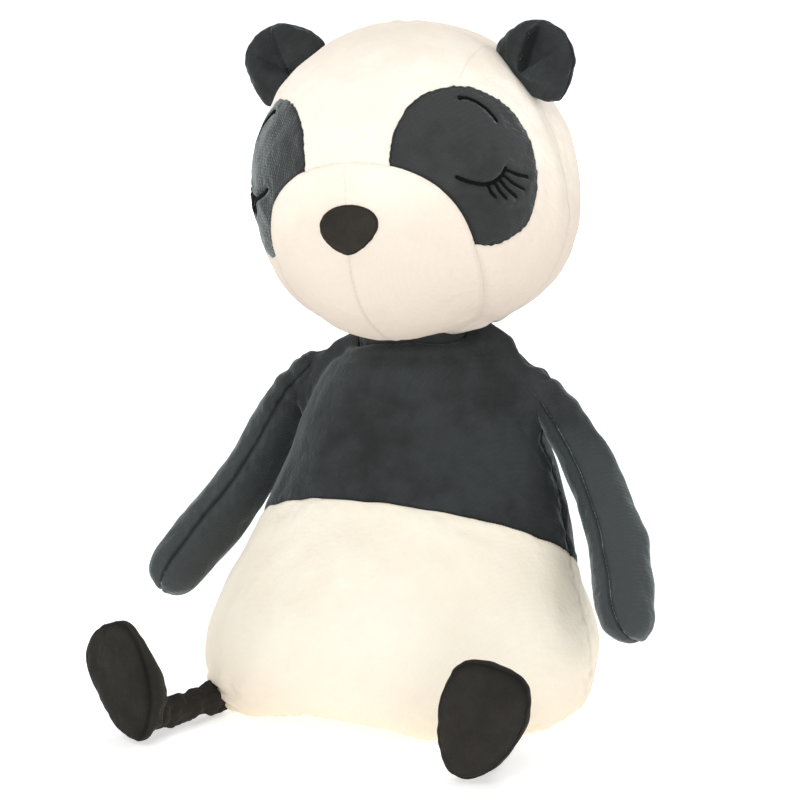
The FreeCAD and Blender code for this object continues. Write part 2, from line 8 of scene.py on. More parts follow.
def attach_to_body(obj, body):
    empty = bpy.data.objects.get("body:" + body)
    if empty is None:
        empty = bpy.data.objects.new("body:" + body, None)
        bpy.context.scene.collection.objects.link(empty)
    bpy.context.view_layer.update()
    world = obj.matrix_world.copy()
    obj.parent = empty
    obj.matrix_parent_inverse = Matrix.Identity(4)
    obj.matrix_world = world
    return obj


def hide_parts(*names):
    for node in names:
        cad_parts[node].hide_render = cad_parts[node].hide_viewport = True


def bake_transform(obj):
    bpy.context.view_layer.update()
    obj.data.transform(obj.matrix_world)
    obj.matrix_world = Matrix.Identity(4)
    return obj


# Plush sitting panda.  Shapes are worked out in millimetres in the CAD frame and written in metres.
# +Z is up, the face looks towards -Y, the toy's own left is +X.

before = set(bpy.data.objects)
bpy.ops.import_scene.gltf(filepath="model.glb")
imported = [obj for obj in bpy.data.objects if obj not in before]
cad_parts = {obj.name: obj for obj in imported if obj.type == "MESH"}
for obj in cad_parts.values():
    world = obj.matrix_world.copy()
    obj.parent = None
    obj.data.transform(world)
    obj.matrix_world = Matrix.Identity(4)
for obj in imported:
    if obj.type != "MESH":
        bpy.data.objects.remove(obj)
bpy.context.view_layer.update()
scene = bpy.context.scene
MM = 0.001
SIDES = (("left", 1), ("right", -1))
WAVES = 16              # sine waves that add up to one ripple
CLOTH_FRAMES = 20
CLOTH_PRESSURE = 4.0
SUBDIVISIONS = 2
TIGHT = 4.0             # half-width of the band that a seam draws in
THREAD_SIDES = 10
THREAD_TWIST = 0.55     # turns per millimetre
THREAD_LOBES = 0.16     # how deep the plies of a thread are

# Columns of a fabric shell: shape, shape before stuffing, normal, distance to a seam (the mask for
# painted shade), own measure.
SHAPE, REST, NORMAL, SEAM, OWN = slice(0, 3), slice(3, 6), slice(6, 9), 9, slice(10, 13)


# ---- numbers and curves ----

def curve(points, steps, closed=False):
    """Smooth curve through the given rows."""
    rows = np.array(points, float)
    if closed:
        rows = np.vstack([rows[-1:], rows, rows[:2]])
    else:
        rows = np.vstack([2 * rows[0] - rows[1], rows, 2 * rows[-1] - rows[-2]])
    found = []
    for a, b, c, d in zip(rows, rows[1:], rows[2:], rows[3:]):
        for t in np.linspace(0, 1, steps, endpoint=False):
            found.append(0.5 * (2 * b + (c - a) * t + (2 * a - 5 * b + 4 * c - d) * t * t
                                + (3 * b - a - 3 * c + d) * t ** 3))
    if not closed:
        found.append(rows[-2])
    return np.array(found)


def unit(rows):
    return rows / np.maximum(np.linalg.norm(rows, axis=-1, keepdims=True), 1e-9)


def bell(distance, width):
    return np.exp(-(distance / width) ** 2)


def ramp(value, low, high):
    t = np.clip((value - low) / (high - low), 0, 1)
    return t * t * (3 - 2 * t)


def ripple(points, length, seed):
    """Smooth irregular waves of about the given length, around 0."""
    dice = np.random.default_rng(seed)
    ways = unit(dice.normal(size=(WAVES, points.shape[1])))
    ways *= (2 * math.pi / length) * dice.uniform(0.6, 1.4, (WAVES, 1))
    return np.sin(points @ ways.T + dice.uniform(0, 6.28, WAVES)).sum(1) / math.sqrt(WAVES / 2)


def outline_distance(u, v, loop):
    """Distance to a closed outline, above 0 inside it."""
    step = np.roll(loop, -1, axis=0) - loop
    near = np.full(len(u), 1e9)
    crossings = np.zeros(len(u), int)
    for (x, y), (dx, dy) in zip(loop, step):
        t = np.clip(((u - x) * dx + (v - y) * dy) / max(dx * dx + dy * dy, 1e-9), 0, 1)
        near = np.minimum(near, np.hypot(u - x - t * dx, v - y - t * dy))
        spans = (v >= y) != (v >= y + dy)
        crossings += spans & (u < x + (v - y) * dx / (dy if abs(dy) > 1e-9 else 1e-9))
    return np.where(crossings % 2 == 1, near, -near)


def lengths(path):
    """Distance travelled along a path at each of its points."""
    return np.concatenate([[0], np.cumsum(np.linalg.norm(np.diff(path, axis=0), axis=1))])


def about_y(angle):
    c, s = math.cos(angle), math.sin(angle)
    return np.array([[c, 0, s], [0, 1, 0], [-s, 0, c]])


def line_distance(points, path):
    """Distance to an open line in space."""
    near = np.full(len(points), 1e9)
    for a, b in zip(path, path[1:]):
        way = b - a
        t = np.clip((points - a) @ way / max(way @ way, 1e-9), 0, 1)
        near = np.minimum(near, np.linalg.norm(points - a - t[:, None] * way, axis=1))
    return near


# ---- meshes ----

def box_grid(nx, ny, nz):
    """Gridded box surface from -1 to 1 whose sides share their edge points, and its quads."""
    steps = (nx, ny, nz)
    index = {}
    quads = []
    for axis in range(3):
        u, v = ((1, 2), (2, 0), (0, 1))[axis]
        for side in (0, steps[axis]):
            for i in range(steps[u]):
                for j in range(steps[v]):
                    ring = []
                    for du, dv in ((0, 0), (1, 0), (1, 1), (0, 1)):
                        key = [0, 0, 0]
                        key[axis] = side
                        key[u] = i + du
                        key[v] = j + dv
                        ring.append(index.setdefault(tuple(key), len(index)))
                    quads.append(ring if side else ring[::-1])
    points = np.array(list(index), float)
    return 2 * points / np.array(steps) - 1, np.array(quads)


def ball_grid(nx, ny, nz, stretch=1.0):
    """Directions spread evenly over a gridded box, and its quads."""
    grid, quads = box_grid(nx, ny, nz)
    return unit(np.tan(grid * math.pi / 4) * stretch), quads


def band_quads(rings, around):
    """Quads between rings of points that go all the way round."""
    quads = []
    for i in range(rings):
        for k in range(around):
            a, b = i * around + k, i * around + (k + 1) % around
            quads.append((a, b, b + around, a + around))
    return quads


def show(name, data):
    item = bpy.data.objects.new(name, data)
    scene.collection.objects.link(item)
    return item


def raw_mesh(name, points, faces):
    mesh = bpy.data.meshes.new(name)
    mesh.from_pydata((points * MM).tolist(), [], faces.tolist())
    mesh.update()
    return show(name, mesh)


def read_back(item):
    """Points and faces of an object with its modifiers worked out."""
    bpy.context.view_layer.update()
    seen = item.evaluated_get(bpy.context.evaluated_depsgraph_get())
    mesh = seen.to_mesh()
    points = np.empty(len(mesh.vertices) * 3)
    mesh.vertices.foreach_get("co", points)
    faces = np.empty(len(mesh.loops), np.int64)
    mesh.loops.foreach_get("vertex_index", faces)
    seen.to_mesh_clear()
    return points.reshape(-1, 3) / MM, faces


def drop(item):
    mesh = item.data
    bpy.data.objects.remove(item)
    bpy.data.meshes.remove(mesh)


def refine(columns, quads):
    """Subdivides several sets of points over the same quads."""
    found = []
    for start in range(0, columns.shape[1], 3):
        item = raw_mesh("refine", columns[:, start:start + 3], quads)
        soft = item.modifiers.new("soft", "SUBSURF")
        soft.levels = SUBDIVISIONS
        points, faces = read_back(item)
        found.append(points)
        drop(item)
    return np.hstack(found), faces.reshape(-1, 4)


def stuff(points, quads, tight, cap, shrink):
    """Fills a shell with pressure; seams are drawn in, and no point moves further than the cap."""
    item = raw_mesh("stuffed", points, quads)
    group = item.vertex_groups.new(name="seams")
    for number, weight in enumerate(tight):
        group.add([number], float(weight), "REPLACE")
    cloth = item.modifiers.new("cloth", "CLOTH")
    settings = cloth.settings
    settings.quality = 5
    settings.mass = 0.3
    settings.bending_stiffness = 0.4
    settings.use_pressure = True
    settings.uniform_pressure_force = CLOTH_PRESSURE
    settings.effector_weights.gravity = 0
    settings.vertex_group_shrink = "seams"
    settings.shrink_min = 0
    settings.shrink_max = shrink
    cloth.point_cache.frame_start = 1
    cloth.point_cache.frame_end = CLOTH_FRAMES
    for number in range(1, CLOTH_FRAMES + 1):
        scene.frame_set(number)
    moved = read_back(item)[0] - points
    drop(item)
    scene.frame_set(1)
    reach = np.linalg.norm(moved, axis=1, keepdims=True)
    return points + moved * np.minimum(1, cap / np.maximum(reach, 1e-9))


def point_normals(points, tris):
    a, b, c = points[tris[:, 0]], points[tris[:, 1]], points[tris[:, 2]]
    face = np.cross(b - a, c - a)
    total = np.zeros_like(points)
    for corner in range(3):
        for axis in range(3):
            total[:, axis] += np.bincount(tris[:, corner], face[:, axis], len(points))
    return unit(total)


def bare_shell(rest):
    """Shell that has only its resting places."""
    data = np.zeros((len(rest), 13))
    data[:, REST] = rest
    return data


def make_shell(columns, quads):
    """Shell of the columns shape, rest and, if there are nine, own measure."""
    tris = np.vstack([quads[:, [0, 1, 2]], quads[:, [0, 2, 3]]])
    data = bare_shell(columns[:, 3:6])
    data[:, SHAPE] = columns[:, :3]
    data[:, NORMAL] = point_normals(columns[:, :3], tris)
    if columns.shape[1] > 6:
        data[:, OWN] = columns[:, 6:]
    return data, tris


def soft_shell(rest, quads, tight, cap, shrink=0.05, own=()):
    """Stuffed, subdivided shell of a resting form."""
    shape = stuff(rest, quads, tight, cap, shrink)
    return make_shell(*refine(np.hstack([shape, rest, *own]), quads))


def press(data, tris, amount):
    """Moves the shell along its normals and works the normals out again."""
    data[:, SHAPE] += data[:, NORMAL] * amount[:, None]
    data[:, NORMAL] = point_normals(data[:, SHAPE], tris)


def sew(data, distance, depth, width, reach, gather, seed):
    """Push-in of a seam: a sharp groove, a soft rise beside it and small gathers along it."""
    near = np.abs(distance)
    # The seam distance is kept as the mask for painted shade along the seam.
    data[:, SEAM] = np.minimum(data[:, SEAM], near) if data[:, SEAM].any() else near
    folds = ripple(data[:, REST], 8.5, seed) + 0.6 * ripple(data[:, REST], 4.6, seed + 50)
    return (-depth * np.exp(-near / width) + 0.22 * depth * bell(near - 4.5, 2.6)
            + gather * folds * bell(near, reach) * ramp(near, 0.2, 2.0))


def split(data, tris, field):
    """Cuts a shell exactly along field = 0; returns the triangles where it is above and below 0."""
    above = field > 0
    corners = above[tris]
    count = corners.sum(1)
    mixed = tris[(count == 1) | (count == 2)]
    flags = above[mixed]
    alone = np.where(flags.sum(1) == 1, flags.argmax(1), (~flags).argmax(1))
    row = np.arange(len(mixed))
    a, b, c = (mixed[row, (alone + k) % 3] for k in range(3))
    low = np.concatenate([np.minimum(a, b), np.minimum(a, c)])
    high = np.concatenate([np.maximum(a, b), np.maximum(a, c)])
    edges, place = np.unique(low * len(data) + high, return_inverse=True)
    first, second = edges // len(data), edges % len(data)
    t = np.clip(field[first] / (field[first] - field[second]), 0.02, 0.98)[:, None]
    fresh = data[first] * (1 - t) + data[second] * t
    ab = len(data) + place.reshape(-1)[:len(a)]
    ac = len(data) + place.reshape(-1)[len(a):]
    single = np.stack([a, ab, ac], 1)
    pair = np.vstack([np.stack([ab, b, c], 1), np.stack([ab, c, ac], 1)])
    lone_above = above[a]
    both = np.concatenate([lone_above, lone_above])
    upper = np.vstack([tris[count == 3], single[lone_above], pair[~both]])
    lower = np.vstack([tris[count == 0], single[~lone_above], pair[both]])
    return np.vstack([data, fresh]), upper, lower


def carve(data, tris, rule):
    """split() with the field worked out from the resting coordinates."""
    return split(data, tris, rule(data))


def shade(item, material):
    item.data.materials.append(material)


def attach(mesh, name, kind, values):
    column = mesh.attributes.new(name, kind, "POINT")
    column.data.foreach_set("vector" if kind == "FLOAT_VECTOR" else "value", values.ravel())


def panel(name, data, tris, material, stands_for, thick=1.3):
    """One piece of fabric with thickness, cut out of a shell, for the CAD nodes that it stands for."""
    used, place = np.unique(tris, return_inverse=True)
    tris = place.reshape(-1, 3)
    outside = data[used]
    count = len(outside)
    edges = np.vstack([tris[:, [0, 1]], tris[:, [1, 2]], tris[:, [2, 0]]])
    forward = edges[:, 0] * count + edges[:, 1]
    backward = edges[:, 1] * count + edges[:, 0]
    rim = edges[~np.isin(forward, backward)]
    walls = np.vstack([np.stack([rim[:, 1], rim[:, 0], rim[:, 0] + count], 1),
                       np.stack([rim[:, 1], rim[:, 0] + count, rim[:, 1] + count], 1)])
    faces = np.vstack([tris, tris[:, ::-1] + count, walls])
    inside = outside[:, SHAPE] - thick * outside[:, NORMAL]
    points = np.vstack([outside[:, SHAPE], inside])
    mesh = bpy.data.meshes.new(name)
    mesh.vertices.add(len(points))
    mesh.vertices.foreach_set("co", (points * MM).ravel())
    mesh.loops.add(faces.size)
    mesh.loops.foreach_set("vertex_index", faces.ravel().astype(np.int32))
    mesh.polygons.add(len(faces))
    mesh.polygons.foreach_set("loop_start", np.arange(0, faces.size, 3, dtype=np.int32))
    mesh.update(calc_edges=True)
    mesh.validate()
    flat = mesh.attributes.new("sharp_face", "BOOLEAN", "FACE")
    flat.data.foreach_set("value", np.arange(len(faces)) >= 2 * len(tris))
    attach(mesh, "rest", "FLOAT_VECTOR", np.vstack([outside[:, REST]] * 2) * MM)
    attach(mesh, "seam", "FLOAT", np.concatenate([outside[:, SEAM]] * 2))
    item = show(name, mesh)
    shade(item, material)
    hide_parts(*stands_for)
    return item


def blend_root(item):
    """Bakes a limb's placement into its mesh."""
    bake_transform(item)


def sweep(name, path, radii):
    """Closed twisted thread along a path."""
    way = unit(np.gradient(path, axis=0))
    side = unit(np.cross(way[0], [0.3, 0.2, 1.0]))
    points = []
    for spot, ahead, radius, along in zip(path, way, radii, lengths(path)):
        side = unit(side - ahead * (side @ ahead))
        other = np.cross(ahead, side)
        for k in range(THREAD_SIDES):
            turn = 2 * math.pi * k / THREAD_SIDES
            swell = 1 + THREAD_LOBES * math.cos(2 * (turn - 2 * math.pi * THREAD_TWIST * along))
            points.append(spot + radius * swell * (side * math.cos(turn) + other * math.sin(turn)))
    last = len(path) - 1
    faces = band_quads(last, THREAD_SIDES)
    faces.append(tuple(range(THREAD_SIDES))[::-1])
    faces.append(tuple(last * THREAD_SIDES + k for k in range(THREAD_SIDES)))
    mesh = bpy.data.meshes.new(name)
    mesh.from_pydata((np.array(points) * MM).tolist(), [], faces)
    mesh.update()
    mesh.shade_smooth()
    attach(mesh, "rest", "FLOAT_VECTOR", np.array(points) * MM)
    attach(mesh, "seam", "FLOAT", np.full(len(points), 9.0))
    item = show(name, mesh)
    shade(item, THREAD)
    return item


def merge(name, items):
    """Joins several loose stitches into one piece."""
    bpy.context.view_layer.update()
    with bpy.context.temp_override(active_object=items[0], selected_editable_objects=items,
                                   selected_objects=items, object=items[0]):
        bpy.ops.object.join()
    items[0].name = name
    items[0].data.name = name
    return items[0]


# ---- materials ----

def linear(rgb):
    return [((c / 255 + 0.055) / 1.055) ** 2.4 if c > 10 else c / 255 / 12.92 for c in rgb]


class Nodes:
    """Small helper that wires up one procedural material."""

    def __init__(self, name):
        self.material = bpy.data.materials.new(name)
        self.material.use_nodes = True
        self.tree = self.material.node_tree
        self.shader = self.tree.nodes["Principled BSDF"]
        self.rest = self.add("ShaderNodeAttribute", attribute_name="rest").outputs["Vector"]

    def add(self, kind, **values):
        node = self.tree.nodes.new(kind)
        for key, value in values.items():
            setattr(node, key, value)
        return node

    def put(self, socket, value):
        if isinstance(value, bpy.types.NodeSocket):
            self.tree.links.new(value, socket)
        else:
            socket.default_value = value

    def noise(self, size_mm, detail=2.0, rough=0.5):
        node = self.add("ShaderNodeTexNoise")
        self.put(node.inputs["Vector"], self.rest)
        node.inputs["Scale"].default_value = 1000 / size_mm
        node.inputs["Detail"].default_value = detail
        node.inputs["Roughness"].default_value = rough
        return node.outputs["Fac"]

    def math(self, kind, a, b=0.0, c=0.0):
        node = self.add("ShaderNodeMath", operation=kind)
        for socket, value in zip(node.inputs, (a, b, c)):
            self.put(socket, value)
        return node.outputs[0]

    def weigh(self, a, weight_a, b, weight_b):
        return self.math("ADD", self.math("MULTIPLY", a, weight_a), self.math("MULTIPLY", b, weight_b))

    def bump(self, height, distance=0.001):
        node = self.add("ShaderNodeBump")
        node.inputs["Distance"].default_value = distance
        self.put(node.inputs["Height"], height)
        return node

    def look(self, values):
        for name, value in values.items():
            self.put(self.shader.inputs[name], value)

    def mix(self, share, a, b):
        node = self.add("ShaderNodeMix", data_type="RGBA")
        self.put(node.inputs[0], share)
        self.put(node.inputs[6], a)
        self.put(node.inputs[7], b)
        return node.outputs[2]

    def range(self, value, low, high, to_low, to_high):
        node = self.add("ShaderNodeMapRange")
        node.interpolation_type = "SMOOTHSTEP"
        for socket, number in zip(node.inputs, (value, low, high, to_low, to_high)):
            self.put(socket, number)
        return node.outputs[0]


def ribs(nodes, pitch_mm, way, wobble):
    """Fine rows of a knitted backing, from 0 to 1."""
    place = nodes.add("ShaderNodeVectorMath", operation="DOT_PRODUCT")
    nodes.put(place.inputs[0], nodes.rest)
    place.inputs[1].default_value = way
    shifted = nodes.math("ADD", place.outputs["Value"], nodes.math("MULTIPLY", wobble, 0.0012))
    wave = nodes.math("SINE", nodes.math("MULTIPLY", shifted, 2 * math.pi * 1000 / pitch_mm))
    return nodes.math("MULTIPLY_ADD", wave, 0.5, 0.5)


def plush(name, light, dark, sheen_rgb, sheen, nap, knit, seam_shade, painted_light_by_height=None, rough=0.9,
          grain_shade=0.10):
    """Short-napped knitted fabric: blotchy nap, knitted rows, fibre grain, sheen, painted shade along
    seams and, when given, a painted tone by height that stands for light and shade.
    """
    nodes = Nodes(name)
    broad = nodes.noise(46, 2.0)
    brushed = nodes.noise(9, 3.0, 0.6)
    fibre = nodes.noise(0.75, 3.0, 0.65)
    rows = ribs(nodes, 1.25, (0.35, 0.35, 0.87), brushed)
    wales = ribs(nodes, 1.45, (0.8, -0.5, -0.2), brushed)
    knitted = nodes.math("MULTIPLY", rows, wales)
    light_rgb, dark_rgb = (*linear(light), 1), (*linear(dark), 1)
    blotch = nodes.range(nodes.weigh(broad, 0.65, brushed, 0.35), 0.36, 0.64, 0.0, 1.0)
    colour = nodes.mix(blotch, dark_rgb, light_rgb)
    # Painted light and shade by height: below the given heights the colour is mixed towards the given
    # tone.
    if painted_light_by_height:
        height = nodes.add("ShaderNodeSeparateXYZ")
        nodes.put(height.inputs[0], nodes.rest)
        low = nodes.range(height.outputs["Z"], painted_light_by_height[1], painted_light_by_height[2], 1.0, 0.0)
        colour = nodes.mix(low, colour, (*linear(painted_light_by_height[0]), 1))
    grain = nodes.weigh(fibre, 0.6, knitted, 0.4)
    shaded = nodes.mix(nodes.range(grain, 0.25, 0.75, grain_shade, 0.0), colour, (0, 0, 0, 1))
    # Painted shade: the colour darkens near seams, the ear's fold and the nose's rim, where shade falls
    # in the grooves.
    seam = nodes.add("ShaderNodeAttribute", attribute_name="seam").outputs["Fac"]
    colour = nodes.mix(nodes.range(seam, 0.1, 1.8, seam_shade, 0.0), shaded, (0, 0, 0, 1))
    nap_bump = nodes.bump(nodes.weigh(fibre, nap, knitted, knit))
    soft = nodes.bump(nodes.math("MULTIPLY", brushed, 0.9))
    nodes.put(soft.inputs["Normal"], nap_bump.outputs[0])
    nodes.look({"Base Color": colour, "Normal": soft.outputs[0],
                "Roughness": nodes.range(fibre, 0.3, 0.7, rough - 0.06, rough + 0.06),
                "Specular IOR Level": 0.15, "Sheen Weight": sheen, "Sheen Roughness": 0.35,
                "Sheen Tint": (*linear(sheen_rgb), 1)})
    return nodes.material


def twisted_thread(name, rgb):
    nodes = Nodes(name)
    fibre = nodes.noise(0.35)
    dark = [c * 0.5 for c in linear(rgb)]
    nodes.look({"Base Color": nodes.mix(fibre, (*linear(rgb), 1), (*dark, 1)),
                "Normal": nodes.bump(fibre, 0.0002).outputs[0], "Roughness": 0.7,
                "Specular IOR Level": 0.12})
    return nodes.material


# Painted shade: the body cream darkens and warms over its lowest 5 cm.
CREAM = plush("cream_velour", (252, 245, 229), (248, 239, 221), (255, 250, 240), sheen=0.12, nap=0.10,
              knit=0.0, painted_light_by_height=((245, 232, 211), 0.0, 0.05), seam_shade=0.10, grain_shade=0.02)
# Painted shade: the face cream darkens below 26.2 cm, fully from 18 cm down, over the lower face and
# muzzle.
CREAM_FACE = plush("cream_velour_face", (252, 244, 231), (248, 237, 222), (255, 248, 240), sheen=0.12,
                   nap=0.10, knit=0.0, painted_light_by_height=((221, 208, 194), 0.180, 0.262), seam_shade=0.07,
                   grain_shade=0.02)
SLATE = plush("slate_velour", (58, 61, 62), (44, 46, 46), (170, 182, 184), sheen=0.55, nap=0.18,
              knit=0.08, seam_shade=0.5)
# Painted light: a lighter copy of the slate velour for the arms, lighter again below 14.5 cm.
SLATE_ARM_PAINTED_LIGHT = plush("slate_velour_arm_painted_light", (60, 63, 64), (46, 48, 48), (190, 203, 205), sheen=0.85, nap=0.18,
                  knit=0.08, painted_light_by_height=((70, 74, 75), 0.085, 0.145), seam_shade=0.5)
SLATE_PATCH = plush("slate_velour_patch", (63, 65, 65), (50, 51, 51), (205, 215, 215), sheen=0.95,
                    nap=0.20, knit=0.14, seam_shade=0.45)
BROWN = plush("charcoal_sole", (52, 49, 45), (42, 40, 36), (120, 116, 108), sheen=0.16, nap=0.16,
              knit=0.10, seam_shade=0.5)
VELVET = plush("nose_velvet", (58, 54, 48), (46, 43, 38), (130, 124, 112), sheen=0.25, nap=0.14,
               knit=0.12, seam_shade=0.5)
THREAD = twisted_thread("black_thread", (7, 8, 9))
TAPE = plush("label_tape", (238, 236, 230), (228, 226, 220), (255, 255, 255), sheen=0.3, nap=0.03,
             knit=0.2, rough=0.6, seam_shade=0.1)


# ---- torso ----

TORSO_ROWS = [(0, 0.1, 0.08, 0), (0, 25, 20, 0), (0, 52, 41, 0), (0.2, 74, 58.5, 0), (5, 83, 66, 0),
              (24, 86, 69, 1), (46, 82, 67, 5), (68, 74.5, 61, 12), (86, 68, 55, 18),
              (105, 61.5, 49, 22), (124, 54.5, 44, 23.5), (140, 46, 39, 22.5), (150, 38.5, 34, 21.5),
              (156.5, 32.5, 30.5, 21), (158, 22, 21, 21), (158.2, 0.1, 0.1, 21)]
HEM = [(-120, 106), (-70, 101), (-42, 99.3), (-28, 96), (-5, 85), (12, 75.5), (35, 62), (60, 54.5),
       (80, 52), (120, 51)]
SIDE_SEAM = [(-10, 6), (20, 6), (46, 11), (95, 25), (120, 27), (220, 26)]
TORSO_LEVEL = 68.0


def table(rows, value):
    rows = curve(rows, 10)
    return np.interp(value, rows[:, 0], rows[:, 1])


NECK_SPOT = np.array([0, 21.0, 160.0])
COLLAR_RADIUS = 27.0    # opening of the body round the neck
SHOULDER = np.array([[24.0, 22.0, 156.0], [57.0, 25.5, 139.0]])
TORSO_CORE = np.array([0, 18.0, TORSO_LEVEL])


def with_shoulders(points):
    """Draws the body out to the arm roots, so that the shoulders slope into the arms."""
    away = points - TORSO_CORE
    far = np.linalg.norm(away, axis=1)
    ways = away / far[:, None]
    best = far.copy()
    for side in (1, -1):
        start, end = SHOULDER * [side, 1, 1]
        bone = end - start
        for extra in np.arange(0.5, 26, 0.5):
            spots = TORSO_CORE + ways * (far + extra)[:, None]
            t = np.clip((spots - start) @ bone / (bone @ bone), 0, 1)
            gap = np.linalg.norm(spots - start - t[:, None] * bone, axis=1) - (10.5 - 1.5 * t)
            best = np.where((gap < 0) & (points[:, 2] > 90), far + extra, best)
    return TORSO_CORE + ways * best[:, None]


def torso_points(ways):
    rows = curve(TORSO_ROWS, 10)
    turn = np.arctan2(rows[:, 1], rows[:, 0] - TORSO_LEVEL)
    order = np.argsort(turn)
    turn = turn[order]
    tall = np.arccos(np.clip(ways[:, 2], -1, 1))
    reach = np.interp(tall, turn, np.hypot(rows[:, 1], rows[:, 0] - TORSO_LEVEL)[order])
    depth = np.interp(tall, turn, (rows[:, 2] / rows[:, 1])[order])
    middle = np.interp(tall, turn, rows[order, 3])
    level = unit(ways[:, :2])
    wide = reach * np.sin(tall)
    return np.stack([wide * level[:, 0], middle + wide * depth * level[:, 1],
                     TORSO_LEVEL + reach * np.cos(tall)], 1)


def hem_rule(data):
    p = data[:, REST]
    return p[:, 2] - table(HEM, p[:, 1]) + 0.25 * ripple(p, 14, 21)


def side_rule(data):
    p = data[:, REST]
    return p[:, 1] - table(SIDE_SEAM, p[:, 2])


def base_rule(data):
    p = data[:, REST]
    oval = (1 - np.hypot(p[:, 0] / 73.4, p[:, 1] / 57.4)) * 62
    return np.minimum(oval, 3 - p[:, 2])


def crumple(data, spot, size, tall, folds, seed):
    """Pleats that fan out from where a limb is sewn in."""
    away = data[:, REST] - np.array(spot, float)
    turn = np.arctan2(away[:, 2], away[:, 0] + 0.5 * away[:, 1])
    far = np.linalg.norm(away, axis=1)
    waves = np.sin(folds * turn + 1.5 * ripple(data[:, REST], 30, seed))
    return tall * waves * np.exp(-far / size) * ramp(far, 3, 8)


def build_torso():
    ways, quads = ball_grid(28, 28, 28)
    rest = with_shoulders(torso_points(ways))
    probe = bare_shell(rest)
    near = np.minimum.reduce([abs(hem_rule(probe)), abs(side_rule(probe)), abs(base_rule(probe))])
    data, tris = soft_shell(rest, quads, bell(near, TIGHT), 2.2)
    p = data[:, REST]
    amount = sew(data, hem_rule(data), 0.7, 1.1, 5, 0.16, 3)
    amount += sew(data, side_rule(data), 1.1, 1.3, 7, 0.34, 4)
    amount += sew(data, base_rule(data), 1.2, 1.4, 8, 0.45, 5) * ramp(p[:, 2], 30, 2)
    amount += 0.55 * ripple(p, 52, 6) + 0.16 * ripple(p, 17, 7)
    amount += 3.6 * bell(p[:, 2] - 26, 34) * ramp(p[:, 2], 0.5, 8) + 1.6 * bell(p[:, 2] - 100, 40)
    collar = 1.3 * bell(p[:, 2] - 149, 3.2) * (0.7 + 0.3 * ripple(p, 30, 9))
    amount += collar - 1.2 * bell(p[:, 2] - 153.5, 2.0)
    for side in (1, -1):
        amount += crumple(data, (side * 70, -48, 9), 13, 1.9, 9, 12 + side)
        corner = p - np.array([side * 62.0, -50.0, 9.0])
        amount += 2.6 * bell(np.linalg.norm(corner * [0.8, 0.8, 1], axis=1), 20)
        amount += crumple(data, (side * 56, 22, 136), 9, 0.9, 8, 32 + side)
    press(data, tris, amount)
    data[:, 2] += ramp(p[:, 2], 142, 157) * (4.6 + 0.09 * p[:, 0]) * (1 - ramp(abs(p[:, 0]), 40, 52))
    lift = 6.5 * bell(p[:, 0] + 4, 34) * ramp(-p[:, 1], 14, 52) * ramp(24 - p[:, 2], 0, 20)
    data[:, 2] += lift
    data[:, 2] = np.maximum(data[:, 2], 0.05)
    data[:, NORMAL] = point_normals(data[:, SHAPE], tris)
    from_neck = np.linalg.norm(data[:, SHAPE] - NECK_SPOT, axis=1)
    data, tris, _ = split(data, tris, from_neck - COLLAR_RADIUS)
    data, base, rest_tris = carve(data, tris, base_rule)
    data, upper, lower = carve(data, rest_tris, hem_rule)
    pieces = {"base_panel": (data, base)}
    for half, back_name, front_name in ((upper, "upper_back_panel", "chest_panel"),
                                        (lower, "lower_back_panel", "belly_panel")):
        cut_data, back, front = carve(data, half, side_rule)
        pieces[back_name] = (cut_data, back)
        pieces[front_name] = (cut_data, front)
    hidden = {"belly_panel": ["body_stuffing", "bean_pouch", "bean_filling"]}
    for name, (piece_data, piece_tris) in pieces.items():
        dark = name in ("chest_panel", "upper_back_panel")
        item = panel(name + "_cloth", piece_data, piece_tris, SLATE if dark else CREAM,
                     [name] + hidden.get(name, []))
        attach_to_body(item, "torso")


build_torso()


# ---- head ----

HEAD_MIDDLE = np.array([0, 17.0, 226.0])
LEAN = math.radians(-6.9)
LEAN_TURN = about_y(LEAN)
SKULL_ROWS = [(163.6, 0.1, 19), (163.8, 12, 19), (165, 28, 19), (168, 36.3, 18.5), (174, 47.2, 18),
              (183, 57.5, 17.5), (194, 65, 17), (206, 69.5, 17), (218, 71, 17), (232, 70.5, 16.5),
              (248, 67.5, 15.5), (265, 60, 14.5), (279, 49.5, 14), (289, 36, 14), (295, 21.5, 14),
              (297.8, 8, 14), (298.1, 0.1, 14)]
SKULL = curve(SKULL_ROWS, 10)
SKULL_LEVEL = 228.0
SKULL_TURN = np.arctan2(SKULL[:, 1], SKULL[:, 0] - SKULL_LEVEL)[::-1]
SKULL_REACH = np.hypot(SKULL[:, 1], SKULL[:, 0] - SKULL_LEVEL)[::-1]
MUZZLE_SPOT = np.array([0, -16.0, 205.0])
MUZZLE_SIZE = np.array([47.0, 40.5, 43.0])
HEAD_CORE = np.array([0, 6.0, 218.0])
RAY_LENGTH = 140.0      # longer than any way out of the head
SOCKET_RADIUS = 27.7    # hollow of the head round the neck
PATCH_LOOP = [(17, 230), (16.9, 245), (18.4, 254), (21.7, 261.5), (27.5, 268), (36, 271.8), (48, 272.8),
              (57, 270.8), (63.5, 266.6), (69.5, 260.6), (73, 251), (74.2, 239.5), (73.4, 228.5),
              (70.4, 218.4), (66, 210.7), (60, 206.4), (53.5, 204.6), (46.5, 204.8), (38, 210)]
EAR_SPOTS = {1: np.array([58.6, 17.0, 272.6]), -1: np.array([52.4, 17.0, 279.8])}


def lean(points):
    return HEAD_MIDDLE + (points - HEAD_MIDDLE) @ LEAN_TURN.T


def upright(points):
    return HEAD_MIDDLE + (points - HEAD_MIDDLE) @ LEAN_TURN


def skull_middle(height):
    return np.interp(height, SKULL[:, 0], SKULL[:, 2])


